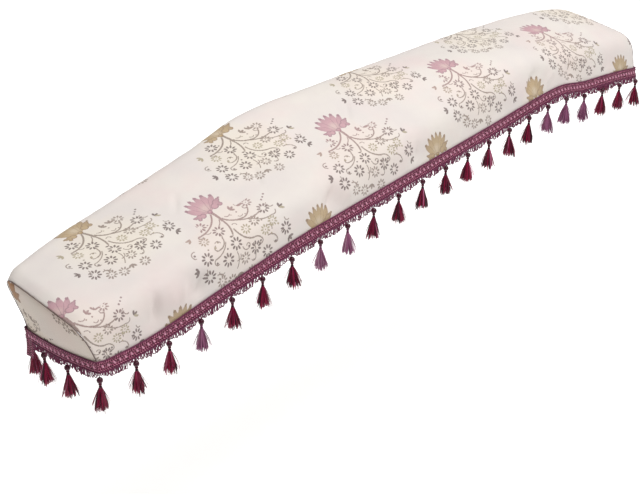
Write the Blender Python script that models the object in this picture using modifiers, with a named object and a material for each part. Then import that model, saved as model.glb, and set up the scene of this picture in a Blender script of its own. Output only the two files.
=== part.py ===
"""A fitted dust cover for a guzheng: one jacquard cloth over the top and both long sides, an end panel
sewn in at each end, a braid round the hem, a looped scalloped fringe and a row of beaded tassels.

Metres, +Z up. +X runs along the cover from its near, left end to its far, right end, and +Y to the back.
The origin is the place under the top that the cover hangs from.
"""

import math
from typing import NamedTuple

import bmesh
import bpy
from mathutils import Matrix, Vector

# Cloth and trim
CLOTH = 0.002            # thickness of the jacquard with its turned edges
GAP = 0.0004             # room between two pieces that are sewn together
BRAID_WIDTH = 0.025
BRAID_THICK = 0.0024
FRINGE_THICK = 0.0012
FRINGE_GAP = 0.0008      # room between the braid and the fringe, whose curves are cut more finely
FRINGE_CUSP = 0.003      # depth of the looped fringe where two scallops meet
FRINGE_DEEP = 0.014      # and in the middle of a scallop

# How the trim is divided: one scallop and one gap between tassels for each count
LONG_GAPS = 22
END_GAPS = 3
SCALLOP_STEPS = 4        # straight pieces that make one scallop
STATIONS_PER_GAP = 2     # sections of the long cloth in each gap between tassels
SHOULDER_STEPS = 4       # strips of cloth round a shoulder
RIDGE_STEPS = 2          # and over the ridge
NEAR_TUCK = 0.023        # how far the near end is drawn in at its hem, at the front corner
NEAR_SKEW = 0.010        # and how much less at the back corner
NEAR_BOW = 0.008         # how far that hem bows out between its corners
TUCK_FULL = 0.75         # share of the way down to the hem from which the cloth hangs plumb
CORNER_CLEAR = 0.006     # share of an end's width by which its panel stops short of each corner
NEAR_REACH = 0.50        # length over which the long cloth follows that tuck
FAR_TUCK = 0.004
FAR_REACH = 0.10
GAP_EASE = 0.13          # how much wider the first gap between tassels is than the middle ones
END_EASE = 0.236         # and the same over an end, from its front corner
END_PUFF = 0.004         # how far an end panel swells

# Heights in the table are above the lower edge of the hem at mid length
MOUNT_HEIGHT = 0.1188    # underside of the top over the origin
FRONT_ROUND = 0.040      # how far from its corner a shoulder or the ridge starts to turn
RIDGE_ROUND = 0.070
BACK_ROUND = 0.034

# Tassel: heights down from its thread's top, and radii
TASSEL_SIDES = 5
TASSEL_PROFILE = (
    ("thread top", 0.0000, 0.0008),
    ("thread end", 0.0055, 0.0008),
    ("bead widest", 0.0100, 0.0047),
    ("bead foot", 0.0145, 0.0016),
    ("crown of the skirt", 0.0190, 0.0042),
    ("bound neck", 0.0255, 0.0036),
    ("root of the locks", 0.0345, 0.0062),
)
LOCK_LENGTH = 0.035
LOCK_SPLAY = 0.0046      # how far a lock's tip stands out past its root
TURN_BETWEEN_TASSELS = math.radians(137.5)


class Section(NamedTuple):
    """The outer face of the long cloth, cut across at one place along the cover."""
    x: float
    front: float          # y of the front hem
    hem: float            # height of the front hem
    shoulder_in: float    # front shoulder: distance behind the front hem
    shoulder: float       # and its height
    ridge_y: float        # the soft ridge where the bridges hold the cloth up
    ridge: float
    back_shoulder_in: float   # back shoulder: distance in front of the back hem
    back_shoulder: float
    back: float           # y of the back hem
    back_hem: float       # height of the back hem


SECTIONS = (
    Section(-0.847, -0.142, -0.0215, 0.014, 0.066, -0.024, 0.084, -0.036, 0.092, 0.048, -0.035),
    Section(-0.825, -0.142, -0.0270, 0.015, 0.073, -0.022, 0.093, -0.036, 0.101, 0.056, -0.0345),
    Section(-0.715, -0.142, -0.0325, 0.016, 0.070, -0.005, 0.096, -0.024, 0.103, 0.092, -0.033),
    Section(-0.549, -0.142, -0.0200, 0.018, 0.072, 0.024, 0.103, -0.018, 0.111, 0.113, -0.022),
    Section(-0.354, -0.142, -0.005, 0.020, 0.077, 0.073, 0.118, -0.008, 0.126, 0.135, -0.010),
    Section(-0.198, -0.142, -0.003, 0.022, 0.082, 0.098, 0.137, 0.002, 0.143, 0.150, -0.005),
    Section(-0.002, -0.142, -0.002, 0.024, 0.088, 0.054, 0.137, 0.011, 0.134, 0.152, -0.004),
    Section(0.261, -0.142, -0.001, 0.024, 0.092, -0.020, 0.128, 0.015, 0.115, 0.146, -0.004),
    Section(0.456, -0.142, 0.002, 0.022, 0.091, -0.060, 0.114, 0.016, 0.103, 0.136, -0.008),
    Section(0.534, -0.143, -0.002, 0.021, 0.084, -0.044, 0.106, 0.016, 0.096, 0.128, -0.014),
    Section(0.610, -0.146, -0.021, 0.020, 0.070, -0.034, 0.096, 0.016, 0.092, 0.118, -0.022),
    Section(0.700, -0.152, -0.034, 0.020, 0.055, -0.024, 0.088, 0.018, 0.086, 0.100, -0.032),
    Section(0.775, -0.156, -0.047, 0.019, 0.048, -0.024, 0.070, 0.020, 0.072, 0.084, -0.042),
    Section(0.816, -0.157, -0.056, 0.020, 0.040, -0.024, 0.050, 0.022, 0.052, 0.072, -0.048),
)
NEAR_X = SECTIONS[0].x
FAR_X = SECTIONS[-1].x
FOLD_FADE = 0.020        # height over the braid in which a fold grows to its depth


class Fold(NamedTuple):
    """A soft trough of the cloth, or a low ridge where its depth is negative."""
    x: float              # middle of the fold, along the cover
    up: float             # and its distance from the front hem, measured over the cloth
    run: float            # half its length
    wide: float           # half its width
    lean: float           # degrees from straight up the cloth, towards the far end
    depth: float


FOLDS = (
    Fold(-0.690, 0.045, 0.070, 0.050, -20, 0.0045),
    Fold(-0.635, 0.050, 0.080, 0.040, -35, -0.0025),
    Fold(-0.585, 0.050, 0.075, 0.045, -35, 0.0045),
    Fold(-0.420, 0.040, 0.070, 0.055, -20, 0.0025),
    Fold(-0.225, 0.055, 0.090, 0.055, -40, 0.0040),
    Fold(-0.160, 0.050, 0.080, 0.045, -35, -0.0020),
    Fold(0.050, 0.040, 0.070, 0.060, 20, 0.0025),
    Fold(0.300, 0.045, 0.070, 0.055, -25, 0.0025),
    Fold(0.445, 0.060, 0.100, 0.050, -50, 0.0040),
    Fold(0.575, 0.050, 0.080, 0.050, 15, 0.0035),
    Fold(0.700, 0.045, 0.070, 0.045, 25, 0.0025),
    Fold(-0.560, 0.410, 0.080, 0.060, 20, 0.0035),
    Fold(-0.080, 0.430, 0.080, 0.060, -20, 0.0035),
    Fold(0.330, 0.410, 0.080, 0.060, 25, 0.0035),
    Fold(-0.480, 0.190, 0.150, 0.060, 60, 0.0020),
    Fold(0.120, 0.170, 0.160, 0.060, -60, 0.0020),
)


def ease(part):
    """A soft hump, 1 in the middle and 0 from one width out."""
    return math.cos(min(1.0, abs(part)) * math.pi / 2) ** 2


def fold_depth(x, up, girth):
    """How deep the folds press the cloth in at one place: they fade out at the stiff braids."""
    from_braid = min(up, girth - up) - BRAID_WIDTH
    if from_braid <= 0:
        return 0.0
    depth = 0.0
    for fold in FOLDS:
        turn = math.radians(fold.lean)
        aside = x - fold.x
        above = up - fold.up
        along_fold = above * math.cos(turn) + aside * math.sin(turn)
        across_fold = aside * math.cos(turn) - above * math.sin(turn)
        depth += fold.depth * ease(along_fold / fold.run) * ease(across_fold / fold.wide)
    return depth * min(1.0, from_braid / FOLD_FADE)


def blend_column(column, x):
    """Read one column of the table at x, on a smooth curve through its rows."""
    xs = [row.x for row in SECTIONS]
    ys = [getattr(row, column) for row in SECTIONS]
    i = max(0, min(len(xs) - 2, sum(1 for place in xs[1:-1] if place <= x)))

    def slope(k):
        low = max(k - 1, 0)
        high = min(k + 1, len(xs) - 1)
        return (ys[high] - ys[low]) / (xs[high] - xs[low])

    span = xs[i + 1] - xs[i]
    t = (x - xs[i]) / span
    rise = ys[i + 1] - ys[i]
    a = slope(i) * span - rise
    b = rise - slope(i + 1) * span
    return ys[i] + rise * t + t * (1 - t) * (a * (1 - t) + b * t)


def section_at(x):
    """The section at any x."""
    return Section(*(x if name == "x" else blend_column(name, x) for name in Section._fields))


def soft_corner(before, corner, after, reach, steps):
    """Points along the curve that turns a corner, from reach before it to reach after it."""
    start = corner + (before - corner).normalized() * min(reach, 0.48 * (before - corner).length)
    end = corner + (after - corner).normalized() * min(reach, 0.48 * (after - corner).length)
    turn = [k / steps for k in range(steps + 1)]
    return [start * (1 - t) ** 2 + corner * 2 * t * (1 - t) + end * t * t for t in turn]


def girth_line(x):
    """The section at x as flat points, from the front hem over the top to the back hem."""
    s = section_at(x)
    hem = Vector((s.front, s.hem))
    shoulder = Vector((s.front + s.shoulder_in, s.shoulder))
    ridge = Vector((s.ridge_y, s.ridge))
    back_shoulder = Vector((s.back - s.back_shoulder_in, s.back_shoulder))
    back_hem = Vector((s.back, s.back_hem))
    back_braid = Vector((s.back, s.back_hem + BRAID_WIDTH))
    front_turn = soft_corner(hem, shoulder, ridge, FRONT_ROUND, SHOULDER_STEPS)
    ridge_turn = soft_corner(shoulder, ridge, back_shoulder, RIDGE_ROUND, RIDGE_STEPS)
    back_turn = soft_corner(ridge, back_shoulder, back_braid, BACK_ROUND, SHOULDER_STEPS)
    line = [hem, hem + (shoulder - hem).normalized() * BRAID_WIDTH]
    line += front_turn
    line.append(front_turn[-1].lerp(ridge_turn[0], 0.5))
    line += ridge_turn
    line.append(ridge_turn[-1].lerp(back_turn[0], 0.5))
    line += back_turn
    line += [back_braid, back_hem]
    return line


def girth_points(x):
    """Outer points of the cloth at x, with its folds, from the front hem to the back hem."""
    line = girth_line(x)
    ups = [0.0]
    for a, b in zip(line, line[1:]):
        ups.append(ups[-1] + (b - a).length)
    points = []
    for k, (point, up) in enumerate(zip(line, ups)):
        run = line[min(k + 1, len(line) - 1)] - line[max(k - 1, 0)]
        outward = Vector((-run.y, run.x)).normalized()
        y, height = point - outward * fold_depth(x, up, ups[-1])
        points.append(tucked(x, y, height))
    return points


def tucked(x, y, height):
    """A point of the cloth in the model's frame, drawn in towards the hem near an end."""
    top = max(blend_column("ridge", x), blend_column("back_shoulder", x))
    low = max(0.0, top - height) / (top - blend_column("hem", x))
    front = blend_column("front", x)
    across = max(0.0, min(1.0, (y - front) / (blend_column("back", x) - front)))
    full = min(1.0, low / TUCK_FULL)
    tuck = NEAR_TUCK - NEAR_SKEW * across - 4 * NEAR_BOW * across * (1 - across)
    near = max(0.0, 1 - (x - NEAR_X) / NEAR_REACH)
    far = max(0.0, 1 - (FAR_X - x) / FAR_REACH)
    shift = full * (tuck * near * near - FAR_TUCK * far * far)
    return Vector((x + shift, y, height - MOUNT_HEIGHT))


def along(part):
    """The x of a part of the cover's length: the gaps between tassels narrow towards the far end."""
    return NEAR_X + (FAR_X - NEAR_X) * (part + GAP_EASE * part * (1 - part))


def over_end(part):
    """The share of an end's width for a part of its gaps between tassels."""
    return part + END_EASE * part * (1 - part)


def cloth_stations():
    """Places along the cover where the long cloth is cut, from the near to the far end."""
    count = LONG_GAPS * STATIONS_PER_GAP
    return [along(k / count) for k in range(count + 1)]


def make_material(name, colour, roughness, metallic=0.0):
    """A plain finish."""
    material = bpy.data.materials.new(name)
    material.use_nodes = True
    shader = material.node_tree.nodes["Principled BSDF"]
    shader.inputs["Base Color"].default_value = (*colour, 1.0)
    shader.inputs["Roughness"].default_value = roughness
    shader.inputs["Metallic"].default_value = metallic
    return material


def add_object(name, mesh, material, collection):
    """Put a mesh in the collection under its own name."""
    piece = bpy.data.objects.new(name, mesh)
    if not mesh.materials:
        mesh.materials.append(material)
    collection.objects.link(piece)
    return piece


def thicken(piece, thickness):
    """Give a sheet its thickness behind its outer face."""
    wall = piece.modifiers.new("Thickness", "SOLIDIFY")
    wall.thickness = thickness
    wall.offset = -1.0
    wall.use_even_offset = True
    return wall


def mesh_from(bm, name):
    """Turn a bmesh into a smooth shaded mesh."""
    mesh = bpy.data.meshes.new(name)
    bm.to_mesh(mesh)
    bm.free()
    mesh.shade_smooth()
    mesh.set_sharp_from_angle(angle=math.radians(40))
    return mesh


def draped_cloth(sections):
    """A grid whose points are moved onto rows of section points, its face turned outward."""
    rows = len(sections)
    columns = len(sections[0])
    bm = bmesh.new()
    bmesh.ops.create_grid(bm, x_segments=rows - 1, y_segments=columns - 1, size=0.5)
    for vert in bm.verts:
        row = round((vert.co.x + 0.5) * (rows - 1))
        column = round((vert.co.y + 0.5) * (columns - 1))
        vert.co = sections[row][column]
    bmesh.ops.recalc_face_normals(bm, faces=bm.faces)
    top = max(bm.faces, key=lambda face: face.calc_center_median().z)
    if top.normal.z < 0:
        bmesh.ops.reverse_faces(bm, faces=bm.faces)
    return bm


def build_long_cloth(material, collection):
    """The main panel, over the top and down both long sides."""
    bm = draped_cloth([girth_points(x) for x in cloth_stations()])
    piece = add_object("cover_panel", mesh_from(bm, "cover_panel"), material, collection)
    thicken(piece, CLOTH)
    return piece


def end_lines(x, parts):
    """The hem of an end panel and the line a braid's width above it, just inside the corners' braid."""
    line = girth_line(x)
    shares = [CORNER_CLEAR, *(over_end(k / parts) for k in range(1, parts)), 1 - CORNER_CLEAR]
    low = [tucked(x, *line[0].lerp(line[-1], share)) for share in shares]
    high = [tucked(x, *line[1].lerp(line[-2], share)) for share in shares]
    return low, high


def build_end_panel(name, x, outward, material, collection):
    """A panel sewn in at one end: flat behind the braid, a little swollen above it, tucked under."""
    shift = Vector((outward * GAP, 0, 0))
    bm = bmesh.new()
    low, high = [[bm.verts.new(point + shift) for point in line]
                 for line in end_lines(x, END_GAPS * STATIONS_PER_GAP)]
    wall = [bm.verts.new(point + shift) for point in girth_points(x)[2:-2]]
    face = bm.faces.new(high[:1] + wall + high[:0:-1])
    for k in range(len(low) - 1):
        bm.faces.new((low[k], high[k], high[k + 1], low[k + 1]))
    bmesh.ops.recalc_face_normals(bm, faces=bm.faces)
    if face.normal.x * outward < 0:
        bmesh.ops.reverse_faces(bm, faces=bm.faces)
    middle = face.calc_center_median()
    for shrink, swell in ((0.75, 0.7), (0.6, 0.3)):
        face = bmesh.ops.extrude_discrete_faces(bm, faces=[face])["faces"][0]
        pivot = Matrix.Translation(-middle)
        bmesh.ops.scale(bm, vec=(shrink, shrink, shrink), space=pivot, verts=face.verts)
        bmesh.ops.translate(bm, vec=(outward * END_PUFF * swell, 0, 0), verts=face.verts)
    bmesh.ops.triangulate(bm, faces=bm.faces)
    piece = add_object(name, mesh_from(bm, name), material, collection)
    wall = thicken(piece, CLOTH)
    wall.offset = 1.0
    return piece


class HemPlace(NamedTuple):
    """A place on the hem, on the outer face of the cloth."""
    low: Vector           # the hem's lower edge
    high: Vector          # a braid's width up the wall
    out: Vector           # outward, long enough at a corner for a mitre
    tassel: str           # name of the tassel that hangs here, or nothing


def wall_place(side, x, tassel=""):
    """A place on a long side's hem."""
    points = girth_points(x)
    low, high = (points[0], points[1]) if side == "front" else (points[-1], points[-2])
    out = Vector((0, -1, 0)) if side == "front" else Vector((0, 1, 0))
    return HemPlace(low, high, out, tassel)


def end_place(end, part, tassel=""):
    """A place on an end panel's hem, part of the way from its front to its back corner."""
    x = NEAR_X if end == "near" else FAR_X
    line = girth_line(x)
    out = Vector((-1, 0, 0)) if end == "near" else Vector((1, 0, 0))
    shift = out * (GAP + CLOTH)
    low = tucked(x, *line[0].lerp(line[-1], over_end(part))) + shift
    high = tucked(x, *line[1].lerp(line[-2], over_end(part))) + shift
    return HemPlace(low, high, out, tassel)


def corner_place(side, end, tassel):
    """The corner where a long side and an end meet."""
    wall = wall_place(side, NEAR_X if end == "near" else FAR_X)
    out = Vector((-1, 0, 0)) if end == "near" else Vector((1, 0, 0))
    shift = out * (GAP + CLOTH)
    return HemPlace(wall.low + shift, wall.high + shift, wall.out + out, tassel)


def hem_places(steps):
    """Places round the hem, anticlockwise from the near front corner, with steps in each gap."""
    places = []
    long_count = LONG_GAPS * steps
    end_count = END_GAPS * steps

    def label(prefix, k, count):
        return f"tassel_{prefix}_{k // steps:02d}" if k % steps == 0 and 0 <= k <= count else ""

    places.append(corner_place("front", "near", label("front", 0, long_count)))
    for k in range(1, long_count):
        x = along(k / long_count)
        places.append(wall_place("front", x, label("front", k, long_count)))
    places.append(corner_place("front", "far", label("front", long_count, long_count)))
    for k in range(1, end_count):
        places.append(end_place("far", k / end_count, label("far", k, end_count)))
    places.append(corner_place("back", "far", label("back", long_count, long_count)))
    for k in range(long_count - 1, 0, -1):
        x = along(k / long_count)
        places.append(wall_place("back", x, label("back", k, long_count)))
    places.append(corner_place("back", "near", label("back", 0, long_count)))
    for k in range(end_count - 1, 0, -1):
        places.append(end_place("near", k / end_count, label("near", k, end_count)))
    return places


def angle_of(vert):
    """Angle of a point about the Z axis, counted from just before +X."""
    return (math.atan2(vert.co.y, vert.co.x) + 0.001) % math.tau


def closed_band(name, rings, material, collection):
    """A band round the hem from four rings of points: outer low, outer high, inner high, inner low."""
    count = len(rings[0])
    bm = bmesh.new()
    bmesh.ops.create_cone(bm, cap_ends=False, segments=count, radius1=1, radius2=1, depth=1)
    low = sorted((v for v in bm.verts if v.co.z < 0), key=angle_of)
    high = sorted((v for v in bm.verts if v.co.z > 0), key=angle_of)
    inner_high = [bm.verts.new(point) for point in rings[2]]
    inner_low = [bm.verts.new(point) for point in rings[3]]
    for vert, point in zip(low + high, rings[0] + rings[1]):
        vert.co = point
    for k in range(count):
        n = (k + 1) % count
        bm.faces.new((high[k], high[n], inner_high[n], inner_high[k]))
        bm.faces.new((inner_high[k], inner_high[n], inner_low[n], inner_low[k]))
        bm.faces.new((inner_low[k], inner_low[n], low[n], low[k]))
    bmesh.ops.recalc_face_normals(bm, faces=bm.faces)
    if bm.calc_volume(signed=True) < 0:
        bmesh.ops.reverse_faces(bm, faces=bm.faces)
    return add_object(name, mesh_from(bm, name), material, collection)


def build_braid(material, collection):
    """The woven band on the outside of the hem."""
    places = hem_places(STATIONS_PER_GAP)
    inner = GAP
    outer = GAP + BRAID_THICK
    rings = (
        [p.low + p.out * outer for p in places],
        [p.high + p.out * outer for p in places],
        [p.high + p.out * inner for p in places],
        [p.low + p.out * inner for p in places],
    )
    return closed_band("hem_braid", rings, material, collection)


def build_fringe(material, collection):
    """The looped fringe under the braid, deep in the middle of each scallop."""
    places = hem_places(SCALLOP_STEPS)
    inner = GAP + (BRAID_THICK - FRINGE_THICK) / 2
    outer = inner + FRINGE_THICK
    top = [p.low - Vector((0, 0, FRINGE_GAP)) for p in places]
    drop = []
    for k in range(len(places)):
        part = (k % SCALLOP_STEPS) / SCALLOP_STEPS
        drop.append(FRINGE_CUSP + (FRINGE_DEEP - FRINGE_CUSP) * math.sin(math.pi * part) ** 0.8)
    foot = [point - Vector((0, 0, depth)) for point, depth in zip(top, drop)]
    rings = (
        [point + p.out * outer for point, p in zip(foot, places)],
        [point + p.out * outer for point, p in zip(top, places)],
        [point + p.out * inner for point, p in zip(top, places)],
        [point + p.out * inner for point, p in zip(foot, places)],
    )
    return closed_band("loop_fringe", rings, material, collection)


def tassel_mesh(material):
    """One tassel: thread, bead, bound neck, and a skirt of locks that part below the neck."""
    bm = bmesh.new()
    _, _, radius = TASSEL_PROFILE[0]
    made = bmesh.ops.create_circle(bm, cap_ends=True, radius=radius, segments=TASSEL_SIDES)
    face = made["verts"][0].link_faces[0]
    if face.normal.z > 0:
        face.normal_flip()
    cap = bmesh.ops.extrude_face_region(bm, geom=[face], use_keep_orig=True)
    face = next(item for item in cap["geom"] if isinstance(item, bmesh.types.BMFace))
    done = 0.0
    for _, down, wide in TASSEL_PROFILE[1:]:
        bmesh.ops.translate(bm, vec=(0, 0, done - down), verts=face.verts)
        bmesh.ops.scale(bm, vec=(wide / radius, wide / radius, 1), verts=face.verts)
        done = down
        radius = wide
        if down < TASSEL_PROFILE[-1][1]:
            more = bmesh.ops.extrude_discrete_faces(bm, faces=[face])
            face = more["faces"][0]
    sectors = bmesh.ops.poke(bm, faces=[face])["faces"]
    for sector in sectors:
        bmesh.ops.inset_individual(bm, faces=[sector], thickness=0.0004, depth=0.0)
    for k, root in enumerate(sectors):
        middle = root.calc_center_median()
        aside = Vector((middle.x, middle.y, 0)).normalized()
        tip = bmesh.ops.extrude_discrete_faces(bm, faces=[root])["faces"][0]
        length = LOCK_LENGTH * (0.9 + 0.1 * math.sin(2.4 * k))
        move = aside * LOCK_SPLAY * (1 + 0.25 * math.cos(1.7 * k)) - Vector((0, 0, length))
        bmesh.ops.translate(bm, vec=move, verts=tip.verts)
        pivot = Matrix.Translation(-tip.calc_center_median())
        bmesh.ops.scale(bm, vec=(0.8, 0.8, 1), space=pivot, verts=tip.verts)
    bmesh.ops.recalc_face_normals(bm, faces=bm.faces)
    mesh = mesh_from(bm, "tassel")
    mesh.materials.append(material)
    return mesh


def build_tassels(material, collection):
    """A tassel under every cusp of the fringe."""
    mesh = tassel_mesh(material)
    middle = GAP + BRAID_THICK / 2
    hanging = [place for place in hem_places(1) if place.tassel]
    for k, place in enumerate(hanging):
        piece = add_object(place.tassel, mesh, material, collection)
        drop = Vector((0, 0, FRINGE_GAP + FRINGE_CUSP + GAP))
        piece.location = place.low + place.out * middle - drop
        piece.rotation_euler = (0, 0, k * TURN_BETWEEN_TASSELS)


def build_cover():
    """The whole cover."""
    for old in list(bpy.data.objects):
        bpy.data.objects.remove(old, do_unlink=True)
    collection = bpy.data.collections.new("guzheng_dust_cover")
    bpy.context.scene.collection.children.link(collection)
    cloth = make_material("ivory_jacquard", (0.83, 0.77, 0.71), 0.62)
    braid = make_material("mauve_braid", (0.30, 0.075, 0.17), 0.55)
    loops = make_material("mauve_loops", (0.26, 0.055, 0.14), 0.60)
    thread = make_material("burgundy_thread", (0.19, 0.006, 0.045), 0.40)
    build_long_cloth(cloth, collection)
    build_end_panel("end_panel_near", NEAR_X, -1, cloth, collection)
    build_end_panel("end_panel_far", FAR_X, 1, cloth, collection)
    build_braid(braid, collection)
    build_fringe(loops, collection)
    build_tassels(thread, collection)


build_cover()
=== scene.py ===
# %% [markdown]
# # A fringed dust cover of ivory jacquard
#
# The real cover is sewn from an ivory jacquard with flower bouquets woven into it. One long piece
# lies over the top and both long sides, and a panel is sewn into each end. A woven braid runs round
# the hem with a fringe of fine thread loops under it, and a beaded tassel hangs from every cusp of
# the fringe.
#
# The frame already holds these pieces as plain solids at their real size. This file dresses them:
# a finer cloth with the same folds, the woven figure, and every cord, loop, bead and thread of the
# trimming. The first cell loads the frame and keeps its solids by name, to hide each one that is dressed.

import math
import random
from typing import NamedTuple

import bmesh
import bpy
from mathutils import Matrix, Vector, noise


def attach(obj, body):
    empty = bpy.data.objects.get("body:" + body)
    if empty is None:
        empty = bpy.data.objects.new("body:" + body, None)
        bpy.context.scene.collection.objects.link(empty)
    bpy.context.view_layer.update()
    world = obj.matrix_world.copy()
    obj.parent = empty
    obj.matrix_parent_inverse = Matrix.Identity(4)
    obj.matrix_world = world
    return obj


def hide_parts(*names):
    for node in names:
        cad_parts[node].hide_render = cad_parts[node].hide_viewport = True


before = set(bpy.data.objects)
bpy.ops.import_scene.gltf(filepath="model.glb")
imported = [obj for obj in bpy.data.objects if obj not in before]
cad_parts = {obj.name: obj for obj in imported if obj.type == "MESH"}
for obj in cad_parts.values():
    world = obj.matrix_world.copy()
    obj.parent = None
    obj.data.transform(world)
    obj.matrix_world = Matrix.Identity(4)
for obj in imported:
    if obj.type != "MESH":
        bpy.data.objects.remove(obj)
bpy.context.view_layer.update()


# %% [markdown]
# ## Camera
#
# The picture was taken from the near front corner and from above, with a long lens. A camera can be
# turned by three angles, but here its axes are worked out one by one: where it looks, what is to its
# right, and what is up. That keeps the small roll of the picture apart from its heading and pitch.

# %% Camera
HEADING = math.radians(43.3)     # from +X, along the cover, towards +Y, its back
PITCH = math.radians(33.2)       # downward
ROLL = math.radians(-0.3)
LENS = 84.94                     # mm
SENSOR = 36                      # mm, its width
CAMERA_AT = Vector((-2.062, -1.830, 1.464))


def add_camera():
    """A camera at the picture's place, looking along its heading."""
    ahead = Vector((
        math.cos(PITCH) * math.cos(HEADING),
        math.cos(PITCH) * math.sin(HEADING),
        -math.sin(PITCH),
    ))
    level = Vector((math.sin(HEADING), -math.cos(HEADING), 0))
    above = level.cross(ahead)
    right = level * math.cos(ROLL) + above * math.sin(ROLL)
    up = above * math.cos(ROLL) - level * math.sin(ROLL)
    lens = bpy.data.cameras.new("camera")
    lens.lens = LENS
    lens.sensor_width = SENSOR
    camera = bpy.data.objects.new("camera", lens)
    axes = Matrix((right, up, -ahead)).transposed().to_4x4()
    camera.matrix_world = Matrix.Translation(CAMERA_AT) @ axes
    bpy.context.scene.collection.objects.link(camera)
    bpy.context.scene.camera = camera
    return ahead


camera_ahead = add_camera()
print("camera looks along", tuple(round(v, 2) for v in camera_ahead))

# %% [markdown]
# ## Floor and light
#
# The cover is shown at the height at which it is used, so the floor is 0.71 m below the underside of
# its top. A plain white studio is imitated with a pale floor, an even and slightly warm sky, and one
# wide lamp almost overhead, a little towards the far end and the front. The near end faces away from
# that lamp and stays in soft shade. A small lamp near the camera puts a point of light on each bead.

# %% Floor and light
FLOOR_AT = -0.71
FLOOR_HALF = 12          # half its width
FLOOR_GLOW = 0.40
SKY = (1.0, 0.97, 0.94, 1)
SKY_STRENGTH = 0.33
WIDE_LAMP_AT = Vector((0.9, -0.6, 3.3))
SMALL_LAMP_AT = CAMERA_AT + Vector((0.2, -0.1, 0.5))
BRIGHTNESS = 1.18        # how bright a white cloth that faces up looks under this light


def by_eye(red, green, blue):
    """A colour as it looks in the picture, by its screen values, turned into what a shader needs."""
    def linear(value):
        share = value / 255
        return share / 12.92 if share <= 0.04045 else ((share + 0.055) / 1.055) ** 2.4

    return (linear(red) / BRIGHTNESS, linear(green) / BRIGHTNESS, linear(blue) / BRIGHTNESS, 1.0)


def floor_material():
    """The floor's matt paper white, which shines a little by itself."""
    material = bpy.data.materials.new("studio_floor")
    material.use_nodes = True
    shader = material.node_tree.nodes["Principled BSDF"]
    shader.inputs["Base Color"].default_value = (0.96, 0.96, 0.96, 1.0)
    shader.inputs["Roughness"].default_value = 0.9
    shader.inputs["Emission Color"].default_value = (1, 1, 1, 1)
    shader.inputs["Emission Strength"].default_value = FLOOR_GLOW
    return material


def add_lamp(name, place, size, power):
    """A square soft lamp that shines on the middle of the cover."""
    lamp = bpy.data.lights.new(name, "AREA")
    lamp.size = size
    lamp.energy = power
    holder = bpy.data.objects.new(name, lamp)
    turn = (-place).to_track_quat("-Z", "Y").to_matrix().to_4x4()
    holder.matrix_world = Matrix.Translation(place) @ turn
    bpy.context.scene.collection.objects.link(holder)


def add_studio():
    """The floor, the sky and the lamps."""
    bm = bmesh.new()
    bmesh.ops.create_grid(bm, x_segments=1, y_segments=1, size=FLOOR_HALF)
    bmesh.ops.translate(bm, verts=bm.verts, vec=(0, 0, FLOOR_AT))
    mesh = bpy.data.meshes.new("floor")
    bm.to_mesh(mesh)
    bm.free()
    mesh.materials.append(floor_material())
    floor = bpy.data.objects.new("floor", mesh)
    bpy.context.scene.collection.objects.link(floor)
    world = bpy.data.worlds.new("studio")
    world.use_nodes = True
    world.node_tree.nodes["Background"].inputs["Color"].default_value = SKY
    world.node_tree.nodes["Background"].inputs["Strength"].default_value = SKY_STRENGTH
    bpy.context.scene.world = world
    bpy.context.scene.view_settings.view_transform = "Standard"
    add_lamp("wide_lamp", WIDE_LAMP_AT, 3.6, 162)
    add_lamp("small_lamp", SMALL_LAMP_AT, 0.35, 11)


add_studio()
print("floor at", FLOOR_AT)

# %% [markdown]
# ## The shape of the cloth
#
# The solids come from one table: a row for each place along the cover, with the heights of the hem,
# the two shoulders and the ridge in between. Repeating it here, and not reading it off the solids'
# flat faces, lets the fine cloth follow a smooth curve. A spline could be drawn by hand instead, but
# a table has one place for every height.

# %% Sections
class Section(NamedTuple):
    """The cover cut across at x: heights are over the mid-length hem, to the outer face."""
    x: float
    front: float
    hem: float
    shoulder_in: float
    shoulder: float
    ridge_y: float
    ridge: float
    back_shoulder_in: float
    back_shoulder: float
    back: float
    back_hem: float


SECTIONS = (
    Section(-0.847, -0.142, -0.0215, 0.014, 0.066, -0.024, 0.084, -0.036, 0.092, 0.048, -0.035),
    Section(-0.825, -0.142, -0.0270, 0.015, 0.073, -0.022, 0.093, -0.036, 0.101, 0.056, -0.0345),
    Section(-0.715, -0.142, -0.0325, 0.016, 0.070, -0.005, 0.096, -0.024, 0.103, 0.092, -0.033),
    Section(-0.549, -0.142, -0.0200, 0.018, 0.072, 0.024, 0.103, -0.018, 0.111, 0.113, -0.022),
    Section(-0.354, -0.142, -0.005, 0.020, 0.077, 0.073, 0.118, -0.008, 0.126, 0.135, -0.010),
    Section(-0.198, -0.142, -0.003, 0.022, 0.082, 0.098, 0.137, 0.002, 0.143, 0.150, -0.005),
    Section(-0.002, -0.142, -0.002, 0.024, 0.088, 0.054, 0.137, 0.011, 0.134, 0.152, -0.004),
    Section(0.261, -0.142, -0.001, 0.024, 0.092, -0.020, 0.128, 0.015, 0.115, 0.146, -0.004),
    Section(0.456, -0.142, 0.002, 0.022, 0.091, -0.060, 0.114, 0.016, 0.103, 0.136, -0.008),
    Section(0.534, -0.143, -0.002, 0.021, 0.084, -0.044, 0.106, 0.016, 0.096, 0.128, -0.014),
    Section(0.610, -0.146, -0.021, 0.020, 0.070, -0.034, 0.096, 0.016, 0.092, 0.118, -0.022),
    Section(0.700, -0.152, -0.034, 0.020, 0.055, -0.024, 0.088, 0.018, 0.086, 0.100, -0.032),
    Section(0.775, -0.156, -0.047, 0.019, 0.048, -0.024, 0.070, 0.020, 0.072, 0.084, -0.042),
    Section(0.816, -0.157, -0.056, 0.020, 0.040, -0.024, 0.050, 0.022, 0.052, 0.072, -0.048),
)
NEAR_X = SECTIONS[0].x
FAR_X = SECTIONS[-1].x
LENGTH = FAR_X - NEAR_X
print(len(SECTIONS), "sections over", round(LENGTH, 3), "m")

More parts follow.
